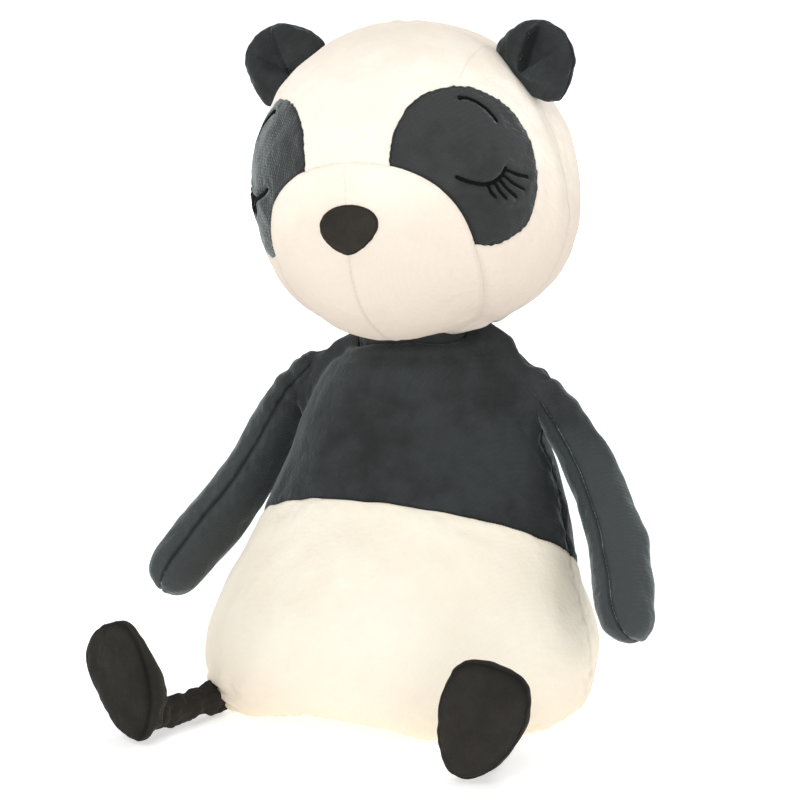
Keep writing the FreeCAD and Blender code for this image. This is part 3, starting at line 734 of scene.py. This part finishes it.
def skull_distance(p):
    far = np.hypot(p[:, 0], p[:, 1] - skull_middle(p[:, 2]))
    up = p[:, 2] - SKULL_LEVEL
    return np.hypot(far, up) - np.interp(np.arctan2(far, up), SKULL_TURN, SKULL_REACH)


def muzzle_distance(p):
    q = (p - MUZZLE_SPOT) / MUZZLE_SIZE * np.where(p[:, 2:] < MUZZLE_SPOT[2], [[1, 1, 1.09]], 1)
    size = np.linalg.norm(q, axis=1)
    return size * (size - 1) / np.maximum(np.linalg.norm(q / MUZZLE_SIZE, axis=1), 1e-9)


def head_distance(p):
    a, b = skull_distance(p), muzzle_distance(p)
    blend = np.maximum(5 - abs(a - b), 0) / 5
    return np.minimum(a, b) - blend * blend * 1.25


def meet(start, ways, rule):
    """First place where rays from inside leave a form."""
    low = np.zeros(len(ways))
    high = np.full(len(ways), RAY_LENGTH)
    for _ in range(26):
        middle = (low + high) / 2
        out = rule(start + ways * middle[:, None]) > 0
        high = np.where(out, middle, high)
        low = np.where(out, low, middle)
    return start + ways * high[:, None]


def muzzle_rule(data):
    p = data[:, REST]
    across = np.abs(p[:, 0]) / 48.0
    up = np.abs(p[:, 2] - 203.5) / 42.8
    oval = (1 - (across ** 2.25 + up ** 2.25) ** (1 / 2.25)) * 42
    return np.minimum(oval, -3 - p[:, 1])


def patch_rule(side):
    loop = curve(PATCH_LOOP, 8, True) * [1.2, 1.0]

    def rule(data):
        p = data[:, REST]
        turn = np.degrees(np.arctan2(side * p[:, 0], skull_middle(p[:, 2]) - p[:, 1]))
        return outline_distance(turn * 1.2, p[:, 2], loop) + 0.18 * ripple(p, 3.4, 40 + side)
    return rule


def back_rule(data):
    return data[:, REST][:, 1] - 20


def forehead_rule(data):
    p = data[:, REST]
    return np.minimum(42 - np.abs(p[:, 0]), p[:, 2] - 206)


def left_rule(data):
    return data[:, REST][:, 0]


def socket_rule(data):
    """Above 0 outside the round hollow that takes the neck."""
    return np.linalg.norm(data[:, REST] - upright(NECK_SPOT[None])[0], axis=1) - SOCKET_RADIUS


def head_line(spots):
    """Line lying on the upright head, from (compass angle, height) spots."""
    spots = np.array(spots, float)
    turn = np.radians(spots[:, 0])
    ways = np.stack([np.sin(turn), -np.cos(turn), np.zeros(len(turn))], 1)
    start = np.stack([np.zeros(len(turn)), skull_middle(spots[:, 1]), spots[:, 1]], 1)
    return meet(start, ways, skull_distance)


LID = [(39.2, 235.9), (41, 234.4), (43.6, 232.9), (46.4, 231.6), (48.8, 230.9), (51.3, 230.9),
       (53.8, 231.7), (55.6, 232.9), (57.4, 234.6), (59, 236.8)]
STITCH_PITCH = 2.3
LASHES = [[(50.5, 231.0), (51.2, 227.4), (53.2, 224.3)], [(52.8, 231.4), (54.6, 227.2), (57.4, 223.2)],
          [(54.8, 232.3), (57.8, 227.6), (61.8, 223.0)], [(56.6, 233.8), (61.0, 229.2), (66.0, 225.6)],
          [(58.2, 235.6), (63.0, 232.8), (68.6, 230.6)]]
BROW = [(48.1, 267.4), (50.2, 267.3), (52.6, 266.5), (55.7, 264.3), (58.2, 261.2), (59.6, 257.6),
        (60.2, 255)]


def mirrored(spots, side):
    return [(side * angle, height) for angle, height in spots]


def build_head():
    ways, quads = ball_grid(30, 30, 30)
    rest = meet(HEAD_CORE, ways, head_distance)
    probe = bare_shell(rest)
    seams = [muzzle_rule(probe), patch_rule(1)(probe), patch_rule(-1)(probe), back_rule(probe)]
    near = np.minimum.reduce([np.abs(field) for field in seams])
    data, tris = soft_shell(rest, quads, bell(near, TIGHT), 1.6, 0.04)
    exact = meet(HEAD_CORE, unit(data[:, REST] - HEAD_CORE), head_distance)
    data[:, SHAPE] = data[:, SHAPE] + exact - data[:, REST]
    data[:, REST] = exact
    data[:, NORMAL] = point_normals(data[:, SHAPE], tris)
    p = data[:, REST]
    muzzle = muzzle_rule(data)
    amount = sew(data, muzzle, 0.42, 1.3, 6, 0.10, 60)
    for side in (1, -1):
        outline = np.where(muzzle > 0, 40, patch_rule(side)(data))
        amount += sew(data, outline, 0.5, 0.9, 5, 0.12, 61 + side)
    amount += sew(data, back_rule(data), 0.5, 1.2, 7, 0.12, 64)
    back_middle = np.where(p[:, 1] > 20, np.abs(p[:, 0]), 40)
    amount += sew(data, back_middle, 0.9, 1.3, 7, 0.25, 65)
    chin = np.where((p[:, 1] < -8) & (p[:, 2] < 209), np.abs(p[:, 0]), 40)
    amount += sew(data, chin, 0.16, 1.2, 4, 0.04, 66)
    amount += 0.5 * ripple(p, 60, 68) + 0.10 * ripple(p, 15, 69)
    for side in (1, -1):
        for spots in [LID, BROW] + LASHES:
            near = line_distance(p, head_line(mirrored(spots, side)))
            amount += -0.75 * bell(near, 1.15) + 0.20 * bell(near - 2.6, 1.3)
    outer = np.linalg.norm(p - NECK_SPOT, axis=1)
    amount += 0.35 * ripple(p, 9, 70) * bell(outer - 28, 9)
    press(data, tris, amount)
    data, tris, _ = carve(data, tris, socket_rule)
    whole = data
    pieces = []
    data, muzzle, rest_tris = carve(data, tris, muzzle_rule)
    muzzle_data, left, right = carve(data, muzzle, left_rule)
    pieces += [("muzzle_panel_left", muzzle_data, left), ("muzzle_panel_right", muzzle_data, right)]
    for name, side in SIDES:
        data, patch, rest_tris = carve(data, rest_tris, patch_rule(side))
        pieces.append((f"eye_patch_{name}", data, patch))
    data, back, face = carve(data, rest_tris, back_rule)
    back_data, left, right = carve(data, back, left_rule)
    pieces += [("head_back_left", back_data, left), ("head_back_right", back_data, right)]
    data, forehead, cheeks = carve(data, face, forehead_rule)
    pieces.append(("forehead_panel", data, forehead))
    cheek_data, left, right = carve(data, cheeks, left_rule)
    pieces += [("cheek_panel_left", cheek_data, left), ("cheek_panel_right", cheek_data, right)]
    for name, piece_data, piece_tris in pieces:
        leaned = piece_data.copy()
        leaned[:, SHAPE] = lean(leaned[:, SHAPE])
        leaned[:, NORMAL] = leaned[:, NORMAL] @ LEAN_TURN.T
        patch = name.startswith("eye_patch")
        inside = ["head_stuffing"] if name == "forehead_panel" else []
        item = panel(name + "_cloth", leaned, piece_tris, SLATE_PATCH if patch else CREAM_FACE,
                     [name] + inside)
        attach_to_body(item, "head")
    return whole


head_shell = build_head()
head_tree = KDTree(len(head_shell))
for number, spot in enumerate(head_shell[:, REST]):
    head_tree.insert(Vector(spot), number)
head_tree.balance()


def on_cloth(points, out=0.0):
    """Moves places on the plain upright head onto the leaning cloth; also its outward directions."""
    spots = []
    ways = []
    for point in points:
        total = np.zeros(3)
        way = np.zeros(3)
        weight = 0.0
        for _, number, far in head_tree.find_n(Vector(point), 4):
            share = 1 / (far + 0.05)
            total += share * (head_shell[number, SHAPE] - head_shell[number, REST])
            way += share * head_shell[number, NORMAL]
            weight += share
        way = unit(way)
        spots.append(np.asarray(point) + total / weight + way * out)
        ways.append(way)
    return lean(np.array(spots)), np.array(ways) @ LEAN_TURN.T


def stitch_radii(path, size):
    travel = lengths(path)
    shape = 0.80 + 0.20 * np.abs(np.sin(math.pi * travel / STITCH_PITCH))
    ends = np.minimum(ramp(travel, -0.4, 1.0), ramp(travel[-1] - travel, -0.4, 1.0))
    return size * shape * (0.35 + 0.65 * ends)


def stitch_path(spots, steps, side):
    return on_cloth(head_line(mirrored(curve(spots, steps), side)), 0.35)[0]


def build_stitching():
    for name, side in SIDES:
        threads = []
        for number, spots in enumerate([LID] + LASHES):
            path = stitch_path(spots, 8 if number else 6, side)
            threads.append(sweep("thread", path, stitch_radii(path, 0.68 if number else 0.80)))
        lids = merge(f"eyelid_stitching_{name}_thread", threads)
        path = stitch_path(BROW, 8, side)
        radii = stitch_radii(path, 0.64)
        knot = ramp(-np.arange(len(radii)), -7.0, -1.0)
        brow = sweep(f"brow_stitching_{name}_thread", path, radii + 0.55 * knot)
        for item, node in ((lids, f"eyelid_stitching_{name}"), (brow, f"brow_stitching_{name}")):
            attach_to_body(item, "head")
            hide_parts(node)


build_stitching()

NOSE_LOOP = [(-13.9, 1.0), (-12.0, 6.0), (-7.0, 9.4), (0, 10.4), (7.0, 9.4), (12.0, 6.0), (13.9, 1.0),
             (12.4, -3.8), (8.0, -8.3), (2.8, -11.3), (0, -11.8), (-2.8, -11.3), (-8.0, -8.3),
             (-12.4, -3.8)]


def build_nose():
    """Padded nose: a rounded rhombus of velvet, gathered in along its edge."""
    loop = curve(NOSE_LOOP, 6, True)
    sides = len(loop)
    rings = 15
    centre = np.array([0.0, 218.5])
    flat = [centre]
    share = [0.0]
    for ring in range(1, rings + 1):
        s = ring / rings
        for u, v in loop:
            flat.append(centre + np.array([u, v]) * s)
            share.append(s)
    flat, share = np.array(flat), np.array(share)
    start = np.stack([flat[:, 0], np.full(len(flat), -5.0), flat[:, 1]], 1)
    skin = meet(start, np.tile([0.0, -1.0, 0.0], (len(flat), 1)), head_distance)
    spots, ways = on_cloth(skin)
    rise = 2.3 * (1 - share ** 5) - 0.9 * ramp(share, 0.9, 1.0)
    gathers = 0.16 * ripple(np.column_stack([flat, flat[:, 0]]), 3.2, 81) * bell(share - 0.86, 0.12)
    front = spots + ways * (rise + gathers)[:, None]
    rear = spots - ways * 1.6
    tris = []
    for k in range(sides):
        tris.append((0, 1 + k, 1 + (k + 1) % sides))
    for ring in range(rings - 1):
        for k in range(sides):
            a = 1 + ring * sides + k
            b = 1 + ring * sides + (k + 1) % sides
            tris += [(a, a + sides, b + sides), (a, b + sides, b)]
    tris = np.array(tris)
    if (np.cross(front[tris[:, 1]] - front[tris[:, 0]], front[tris[:, 2]] - front[tris[:, 0]])
            @ ways.mean(0)).mean() < 0:
        tris = tris[:, ::-1]
    data = bare_shell(skin)
    data[:, SHAPE] = front
    data[:, NORMAL] = (front - rear) / 1.3
    # Painted shade: the gathered rim of the nose is marked like a seam so that it darkens.
    data[:, SEAM] = (1 - share) * 11
    item = panel("nose_pad_velvet", data, tris, VELVET, ["nose_pad"])
    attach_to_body(item, "head")


build_nose()


# ---- ears ----

EAR_TILT = math.radians(41)
EAR_TWIST = 0.16
EAR_HALF, EAR_TALL = 20.5, 25.0
TUCKS = (1.24, 1.93)


def ear_height(turn, share):
    """How far the front of the ear stands out: two lobes with a flat folded wedge between them."""
    first, second = TUCKS
    fade = 1 - ramp(share, 0.62, 1.0)
    inner = 2.3 * np.sin(np.clip(turn / first, 0, 1) * math.pi * 0.62) * (turn < first)
    slope = (turn - first) / (second - first)
    wedge = (-3.6 + 3.0 * np.clip(slope, 0, 1)) * ((turn >= first) & (turn < second))
    beyond = np.clip((turn - second) / (math.pi - second), 0, 1)
    outer = 2.5 * np.sin(beyond * math.pi) * (turn >= second)
    valley = -1.5 * bell((turn - second) * 14 * share, 1.5)
    edge = 0.9 * bell((turn - first + 0.05) * 14 * share, 1.6)
    return (inner + wedge + outer + valley + edge) * fade


def build_ear(name, side):
    ways, quads = ball_grid(14, 7, 14, [1.0, 0.9, 1.0])
    local = ways * [EAR_HALF, 6.6, EAR_TALL]
    local[:, 2] = np.where(ways[:, 2] < 0, ways[:, 2] * 9.0, local[:, 2])
    pinch = np.abs(local[:, 0] / EAR_HALF) ** 3 * ramp(local[:, 2], 12, -4)
    local[:, 1] *= 1 - 0.35 * pinch
    data, tris = soft_shell(local, quads, bell(local[:, 1], 2.5), 1.2, 0.06)
    p = data[:, REST].copy()
    turn = np.arctan2(np.maximum(p[:, 2] + 1, 0), -side * p[:, 0])
    share = np.clip(np.hypot(p[:, 0] / EAR_HALF, np.maximum(p[:, 2], 0) / EAR_TALL), 0, 1)
    front = ramp(-p[:, 1], 0.3, 2.2) * ramp(p[:, 2], -4, 3)
    data[:, 1] -= ear_height(turn, share) * front
    data[:, NORMAL] = point_normals(data[:, SHAPE], tris)
    amount = sew(data, p[:, 1], 0.8, 1.1, 5, 0.22, 90 + side)
    amount += 0.25 * ripple(p, 14, 92 + side)
    press(data, tris, amount)
    # Painted shade: the tuck on the ear's front is marked like a seam so that the fold darkens.
    crease = np.abs(turn - TUCKS[0]) * 18 * share
    data[:, SEAM] = np.minimum(data[:, SEAM], np.where((front > 0.5) & (share < 0.85), crease * 1.2, 9))
    tilted = about_y(side * EAR_TILT)
    spot = EAR_SPOTS[side] * [side, 1, 1]
    twist = EAR_TWIST * side
    face = np.array([[math.cos(twist), math.sin(twist), 0], [-math.sin(twist), math.cos(twist), 0],
                     [0, 0, 1]])
    placed = data.copy()
    placed[:, SHAPE] = lean(spot + data[:, SHAPE] @ face.T @ tilted.T)
    placed[:, NORMAL] = data[:, NORMAL] @ face.T @ tilted.T @ LEAN_TURN.T
    placed, keep, _ = split(placed, tris, head_distance(upright(placed[:, SHAPE])) + 3.5)
    placed, back, ahead = carve(placed, keep, lambda d: d[:, REST][:, 1])
    for kind, part_tris in (("ear_front", ahead), ("ear_back", back)):
        inside = [f"ear_stuffing_{name}"] if kind == "ear_back" else []
        item = panel(f"{kind}_{name}_cloth", placed, part_tris, SLATE,
                     [f"{kind}_{name}"] + inside, 1.0)
        blend_root(item)


for side_name, side_sign in SIDES:
    build_ear(side_name, side_sign)


# ---- arms ----

ARM_ROWS = [(53.0, 24.0, 143.0, 7.4), (60.0, 26.0, 135.5, 9.3), (67.3, 27.2, 124.0, 10.8),
            (75.3, 27.0, 110.5, 11.8), (86.5, 23.0, 90.0, 12.8), (98.5, 11.0, 69.0, 13.8),
            (107.5, -3.0, 52.0, 12.8)]
ARM_NORMAL = np.array([0.881, 0.05, 0.471])
TUBE_END = 0.55         # share of a tube's end radius that its end cap takes up


def tube_shell(rows, normal, around, along, section, side, cap):
    """Stuffed tube with round ends; its own columns are sine and cosine round it and distance along."""
    path = curve(rows, 10)
    travel = lengths(path[:, :3])
    first, last = path[0, 3], path[-1, 3]
    start, end = -first, travel[-1] + last
    grid, quads = box_grid(around, around, along)
    a, b, c = grid.T
    rim = np.maximum(np.abs(a), np.abs(b)) ** 1.6
    square = np.arctan2(np.tan(b * math.pi / 4), np.tan(a * math.pi / 4))
    edge_first, edge_last = first * TUBE_END, last * TUBE_END
    inner = start + edge_first + (c + 1) / 2 * (end - start - edge_first - edge_last)
    at = np.where(c >= 1 - 1e-9, end - edge_last * rim, inner)
    at = np.where(c <= -1 + 1e-9, start + edge_first * rim, at)
    radius = np.interp(at, travel, path[:, 3])
    for share in ((at - start) / (first + 1e-6), (end - at) / (last + 1e-6)):
        radius = radius * np.sqrt(np.maximum(1 - (1 - np.clip(share, 0, 1)) ** 2, 0))
    radius = np.maximum(radius, 0.02)
    spot = np.stack([np.interp(at, travel, path[:, k]) for k in range(3)], 1)
    way = unit(np.gradient(path[:, :3], axis=0))
    ahead = unit(np.stack([np.interp(at, travel, way[:, k]) for k in range(3)], 1))
    beyond = np.where(at < 0, at, np.where(at > travel[-1], at - travel[-1], 0))
    thick = unit(normal - ahead * (ahead @ normal)[:, None])
    wide = np.cross(ahead, thick) * side
    rest = (spot + ahead * beyond[:, None] + wide * (radius * section[0] * np.cos(square))[:, None]
            + thick * (radius * section[1] * np.sin(square))[:, None])
    if side < 0:
        quads = quads[:, ::-1]
    own = np.stack([np.sin(square), np.cos(square), at], 1)
    data, tris = soft_shell(rest, quads, bell(np.sin(square) * radius, 3.0), cap, own=[own])
    outward = ((data[:, SHAPE] - data[:, SHAPE].mean(0)) * data[:, NORMAL]).sum(1).mean()
    if outward < 0:
        tris = tris[:, ::-1]
        data[:, NORMAL] *= -1
    return data, tris


def own_rule(data):
    return data[:, 10] * 10


def build_arm(name, side):
    rows = [(side * x, y, z, half) for x, y, z, half in ARM_ROWS]
    normal = unit(ARM_NORMAL * [side, 1, 1])
    data, tris = tube_shell(rows, normal, 6, 34, (1.06, 0.93), side, 1.4)
    p = data[:, REST]
    at = data[:, 12]
    amount = sew(data, own_rule(data), 1.0, 1.2, 5, 0.34, 110 + side)
    amount += 0.35 * ripple(p, 26, 112 + side) + 0.10 * ripple(p, 8, 113 + side)
    amount += 0.55 * np.sin(at * 0.55 + 2 * data[:, 11]) * ramp(26 - at, 0, 18) * ramp(at, -4, 4)
    nub = bell(data[:, 10], 0.35) * (data[:, 11] < 0)
    amount += 0.8 * nub * np.maximum(np.sin(at * 0.62), 0) ** 6 * ramp(at, 45, 70)
    press(data, tris, amount)
    data, outer, inner = carve(data, tris, own_rule)
    # The arms take the lighter slate copy that carries painted light.
    for kind, part_tris in (("arm_outer_panel", outer), ("arm_inner_panel", inner)):
        inside = [f"arm_stuffing_{name}"] if kind == "arm_outer_panel" else []
        item = panel(f"{kind}_{name}_cloth", data, part_tris, SLATE_ARM_PAINTED_LIGHT,
                     [f"{kind}_{name}"] + inside, 1.1)
        blend_root(item)


for side_name, side_sign in SIDES:
    build_arm(side_name, side_sign)


# ---- legs and feet ----

HIP = np.array([68.5, -54.0, 8.2])
SPLAY = math.radians(14)
LEG_WAY = np.array([math.sin(SPLAY), -math.cos(SPLAY), 0])
ANKLE = HIP + LEG_WAY * 30
FOOT_MIDDLE = np.array([ANKLE[0] + 5.0, ANKLE[1] - 17.5, 26.8])
FOOT_TURNS = {1: math.radians(11), -1: math.radians(19)}
SOLE_HALF = [(0, 26.6), (7.5, 26.0), (13.6, 23.2), (17.4, 16.8), (18.8, 8.5), (18.4, 0), (16.4, -9),
             (12.0, -18.0), (6.0, -24.6), (0, -26.8)]
SOLE_LOOP = SOLE_HALF + [(-x, y) for x, y in SOLE_HALF[-2:0:-1]]
FOOT_TILTS = {1: math.radians(18), -1: math.radians(25)}


def foot_axes(side):
    """Directions of a foot, before mirroring: across it, up it and out of its sole."""
    turn = FOOT_TURNS[side]
    out = np.array([math.sin(turn), -math.cos(turn), 0])
    level = np.array([math.cos(turn), math.sin(turn), 0])
    rise = np.array([0, 0, 1.0])
    tilt = FOOT_TILTS[side]
    across = level * math.cos(tilt) - rise * math.sin(tilt)
    upward = level * math.sin(tilt) + rise * math.cos(tilt)
    return across, upward, out


def build_leg(name, side):
    start = HIP - LEG_WAY * 20 + np.array([-2.0, 0, 0.8])
    spots = [start, HIP - LEG_WAY * 8, HIP + LEG_WAY * 2, HIP + LEG_WAY * 12, HIP + LEG_WAY * 22,
             ANKLE + LEG_WAY * 1.0]
    halves = [5.0, 6.6, 6.3, 6.5, 6.2, 6.3]
    rows = [(side * spot[0], spot[1], spot[2], half) for spot, half in zip(spots, halves)]
    data, tris = tube_shell(rows, np.array([0, 0, 1.0]), 4, 20, (1.0, 0.94), side, 0.8)
    p = data[:, REST]
    at = data[:, 12]
    turn = np.arctan2(data[:, 10], data[:, 11])
    amount = 0.42 * np.sin(at * 0.50 + 1.4 * np.sin(turn + 0.4 * side)) * ramp(at, 8, 20)
    amount += 0.34 * ripple(p, 9, 130 + side) + 0.16 * ripple(p, 4, 132 + side)
    pleat = np.sin(5 * turn + 1.2 * ripple(p, 15, 133))
    amount += 0.75 * pleat * ramp(26 - at, 0, 14)
    under = np.where(data[:, 10] < 0, np.abs(data[:, 11]) * 6, 9)
    amount += sew(data, under, 0.6, 1.0, 3, 0.1, 134)
    press(data, tris, amount)
    data[:, 2] = np.maximum(data[:, 2], 0.4)
    item = panel(f"leg_panel_{name}_cloth", data, tris, BROWN,
                 [f"leg_panel_{name}", f"leg_stuffing_{name}"], 1.0)
    blend_root(item)


def build_foot(name, side):
    """Flat oval sole sewn to a padded upper that is deepest at the heel."""
    loop = curve(SOLE_LOOP, 10, True)
    loop_turn = np.unwrap(np.arctan2(loop[:, 1], loop[:, 0]))
    loop_reach = np.hypot(loop[:, 0], loop[:, 1])
    order = np.argsort(loop_turn % (2 * math.pi))
    ways, quads = ball_grid(14, 14, 9)
    turn = np.arctan2(ways[:, 1], ways[:, 0])
    reach = np.interp(turn % (2 * math.pi), (loop_turn % (2 * math.pi))[order], loop_reach[order],
                      period=2 * math.pi)
    tilt = np.arccos(np.clip(ways[:, 2], -1, 1))
    ahead = tilt < math.pi / 2
    share = np.where(ahead, np.clip(tilt / (math.pi / 2), 0, 1) ** 0.9, np.sin(tilt) ** 0.55)
    up = reach * share * np.sin(turn)
    deep = 9.5 + 9.0 * ramp(-up, -16, 14)
    depth = np.where(ahead, 2.6 * np.sqrt(np.maximum(1 - share ** 3, 0)),
                     -deep * np.abs(np.cos(tilt)) ** 0.85)
    taper = 1 - 0.16 * ramp(-depth, 2, 18)
    local = np.stack([reach * share * np.cos(turn) * taper, up * taper + 1.5 * ramp(-depth, 4, 18),
                      depth], 1)
    data, tris = soft_shell(local, quads, bell(depth, 2.0), 0.9, 0.04)
    p = data[:, REST].copy()
    edge = p[:, 2] - 0.15
    amount = sew(data, edge, 0.9, 1.0, 4, 0.18, 150 + side)
    line = edge + 2.9
    amount += np.where(edge < 0, -0.42 * bell(line, 0.55), 0)
    amount += 0.3 * ripple(p, 22, 152 + side) + 0.08 * ripple(p, 7, 153 + side)
    heel = p - np.array([-5.0, -18.0, -12.0])
    amount += 0.5 * ripple(p, 6, 154) * bell(np.linalg.norm(heel, axis=1), 10)
    press(data, tris, amount)
    across, upward, out = foot_axes(side)
    middle = FOOT_MIDDLE + (np.array([1.0, -2.0, 0]) if side > 0 else np.array([2.5, -1.5, -0.6]))
    placed = data.copy()
    axes = np.stack([across, upward, out])
    for column in (SHAPE, REST):
        placed[:, column] = middle + data[:, column] @ axes
    placed[:, NORMAL] = data[:, NORMAL] @ axes
    placed[:, OWN] = p
    placed[:, [0, 3, 6]] *= side
    if side < 0:
        tris = tris[:, ::-1]
    placed[:, 2] = np.maximum(placed[:, 2], 0.3)
    placed, sole, upper = split(placed, tris, placed[:, 12] - 0.15)
    for kind, part_tris, slot, inside in (("foot_sole", sole, "sole_plush", []),
                                          ("foot_upper", upper, "dark_plush", [f"foot_stuffing_{name}"])):
        item = panel(f"{kind}_{name}_cloth", placed, part_tris, BROWN, [f"{kind}_{name}"] + inside,
                     1.0)
        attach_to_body(item, f"{name}_foot")


for side_name, side_sign in SIDES:
    build_leg(side_name, side_sign)
    build_foot(side_name, side_sign)


# ---- neck and label ----

NECK_RADIUS = 26.4


def build_neck():
    """Fabric collar over the stuffed neck, a little creased where the head sits on it."""
    spots = []
    around, up = 96, 26
    for i in range(up + 1):
        tilt = math.radians(-17 + 34 * i / up)
        for k in range(around):
            turn = 2 * math.pi * k / around
            spots.append((NECK_RADIUS * math.cos(tilt) * math.cos(turn),
                          NECK_RADIUS * math.cos(tilt) * math.sin(turn), NECK_RADIUS * math.sin(tilt)))
    points = np.array(spots) + NECK_SPOT
    data, tris = make_shell(np.hstack([points, points]), np.array(band_quads(up, around)))
    data[:, SEAM] = 9
    p = data[:, REST]
    press(data, tris, 0.25 * ripple(p * [1, 1, 0.4], 5, 160) - 0.4 * bell(p[:, 2] - 158, 1.2))
    item = panel("neck_band_cloth", data, tris, SLATE, ["neck_band", "neck_stuffing"])
    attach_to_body(item, "neck")


def build_label():
    """Blank folded tape sewn into the rear seam; it droops a little."""
    steps, wide = 30, 14
    points = []
    for i in range(steps + 1):
        s = i / steps * 2 - 1
        fold = max(abs(s), 0.25)
        out = 9.2 * (1 - fold ** 1.6) + 0.5 * (1 - min(abs(s), 0.25) / 0.25)
        lift = 0.42 * math.sin(max(-1, min(1, s * 3)) * math.pi / 2)
        for k in range(wide + 1):
            x = -6 + 12 * k / wide
            sag = -0.045 * out * out / 2 + 0.35 * math.sin(k / wide * 5 + 0.5) * out / 9
            points.append((x, 68.3 + out, 16.6 + lift + sag + 1.2))
    quads = []
    for i in range(steps):
        for k in range(wide):
            a = i * (wide + 1) + k
            quads.append((a, a + 1, a + wide + 2, a + wide + 1))
    points = np.array(points)
    data, tris = make_shell(np.hstack([points, points]), np.array(quads))
    data[:, SEAM] = 9
    item = panel("care_label_tape", data, tris, TAPE, ["care_label"], thick=0.22)
    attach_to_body(item, "torso")


build_neck()
build_label()


# ---- floor, backdrop, lights and camera ----

def build_stage():
    """Flat white paper, which glows a little more far away from the toy so that it stays white."""
    around, radius, drop_m = 96, 30, 0.0002
    turns = [2 * math.pi * k / around for k in range(around)]
    points = [(radius * math.cos(turn), radius * math.sin(turn), -drop_m) for turn in turns]
    mesh = bpy.data.meshes.new("white_paper")
    mesh.from_pydata(points, [], [tuple(range(around))])
    item = show("white_paper", mesh)
    nodes = Nodes("white_paper")
    place = nodes.add("ShaderNodeNewGeometry").outputs["Position"]
    away = nodes.add("ShaderNodeVectorMath", operation="LENGTH")
    nodes.put(away.inputs[0], place)
    nodes.look({"Base Color": (0.92, 0.92, 0.92, 1), "Roughness": 0.95, "Specular IOR Level": 0.1,
                "Emission Color": (1, 1, 1, 1),
                "Emission Strength": nodes.range(away.outputs["Value"], 0.3, 1.6, 0.47, 0.80)})
    mesh.materials.append(nodes.material)


def lamp(name, spot, aim_height, size, power):
    light = bpy.data.lights.new(name, "AREA")
    light.shape = "DISK"
    light.size = size
    light.energy = power
    item = show(name, light)
    item.location = spot
    way = Vector((0, 0, aim_height)) - Vector(spot)
    item.rotation_euler = way.to_track_quat("-Z", "Y").to_euler()


build_stage()
lamp("key", (0.35, -1.8, 1.35), 0.15, 1.0, 18)
lamp("fill", (-1.6, -0.9, 0.9), 0.14, 1.2, 5)
lamp("top", (0.1, 0.3, 1.9), 0.15, 1.2, 8)
lamp("side", (1.8, 0.2, 0.9), 0.14, 1.2, 6)
lamp("rear", (-0.6, 1.9, 1.1), 0.15, 1.2, 8)
world = bpy.data.worlds.new("studio")
world.use_nodes = True
sky = world.node_tree
sky.nodes["Background"].inputs[0].default_value = (1, 1, 1, 1)
sky_place = sky.nodes.new("ShaderNodeTexCoord")
sky_height = sky.nodes.new("ShaderNodeSeparateXYZ")
sky_strength = sky.nodes.new("ShaderNodeMapRange")
for socket, number in zip(sky_strength.inputs[1:], (0.12, 0.2, 1.02, 0.32)):
    socket.default_value = number
sky.links.new(sky_place.outputs["Generated"], sky_height.inputs[0])
sky.links.new(sky_height.outputs["Z"], sky_strength.inputs[0])
sky.links.new(sky_strength.outputs[0], sky.nodes["Background"].inputs[1])
scene.world = world
scene.view_settings.view_transform = "Standard"

AZIMUTH, ELEVATION = math.radians(24.5), math.radians(11)
LENS, AIM_HEIGHT, CAMERA_DISTANCE = 209.3, 0.1364, 2.0
camera_data = bpy.data.cameras.new("camera")
camera_data.lens = LENS
camera_data.sensor_width = 36
camera_data.clip_end = 20
camera = show("camera", camera_data)
behind = Vector((math.sin(AZIMUTH) * math.cos(ELEVATION), -math.cos(AZIMUTH) * math.cos(ELEVATION),
                 math.sin(ELEVATION)))
camera.location = Vector((0, 0, AIM_HEIGHT)) + CAMERA_DISTANCE * behind
camera.rotation_euler = (-behind).to_track_quat("-Z", "Y").to_euler()
scene.camera = camera
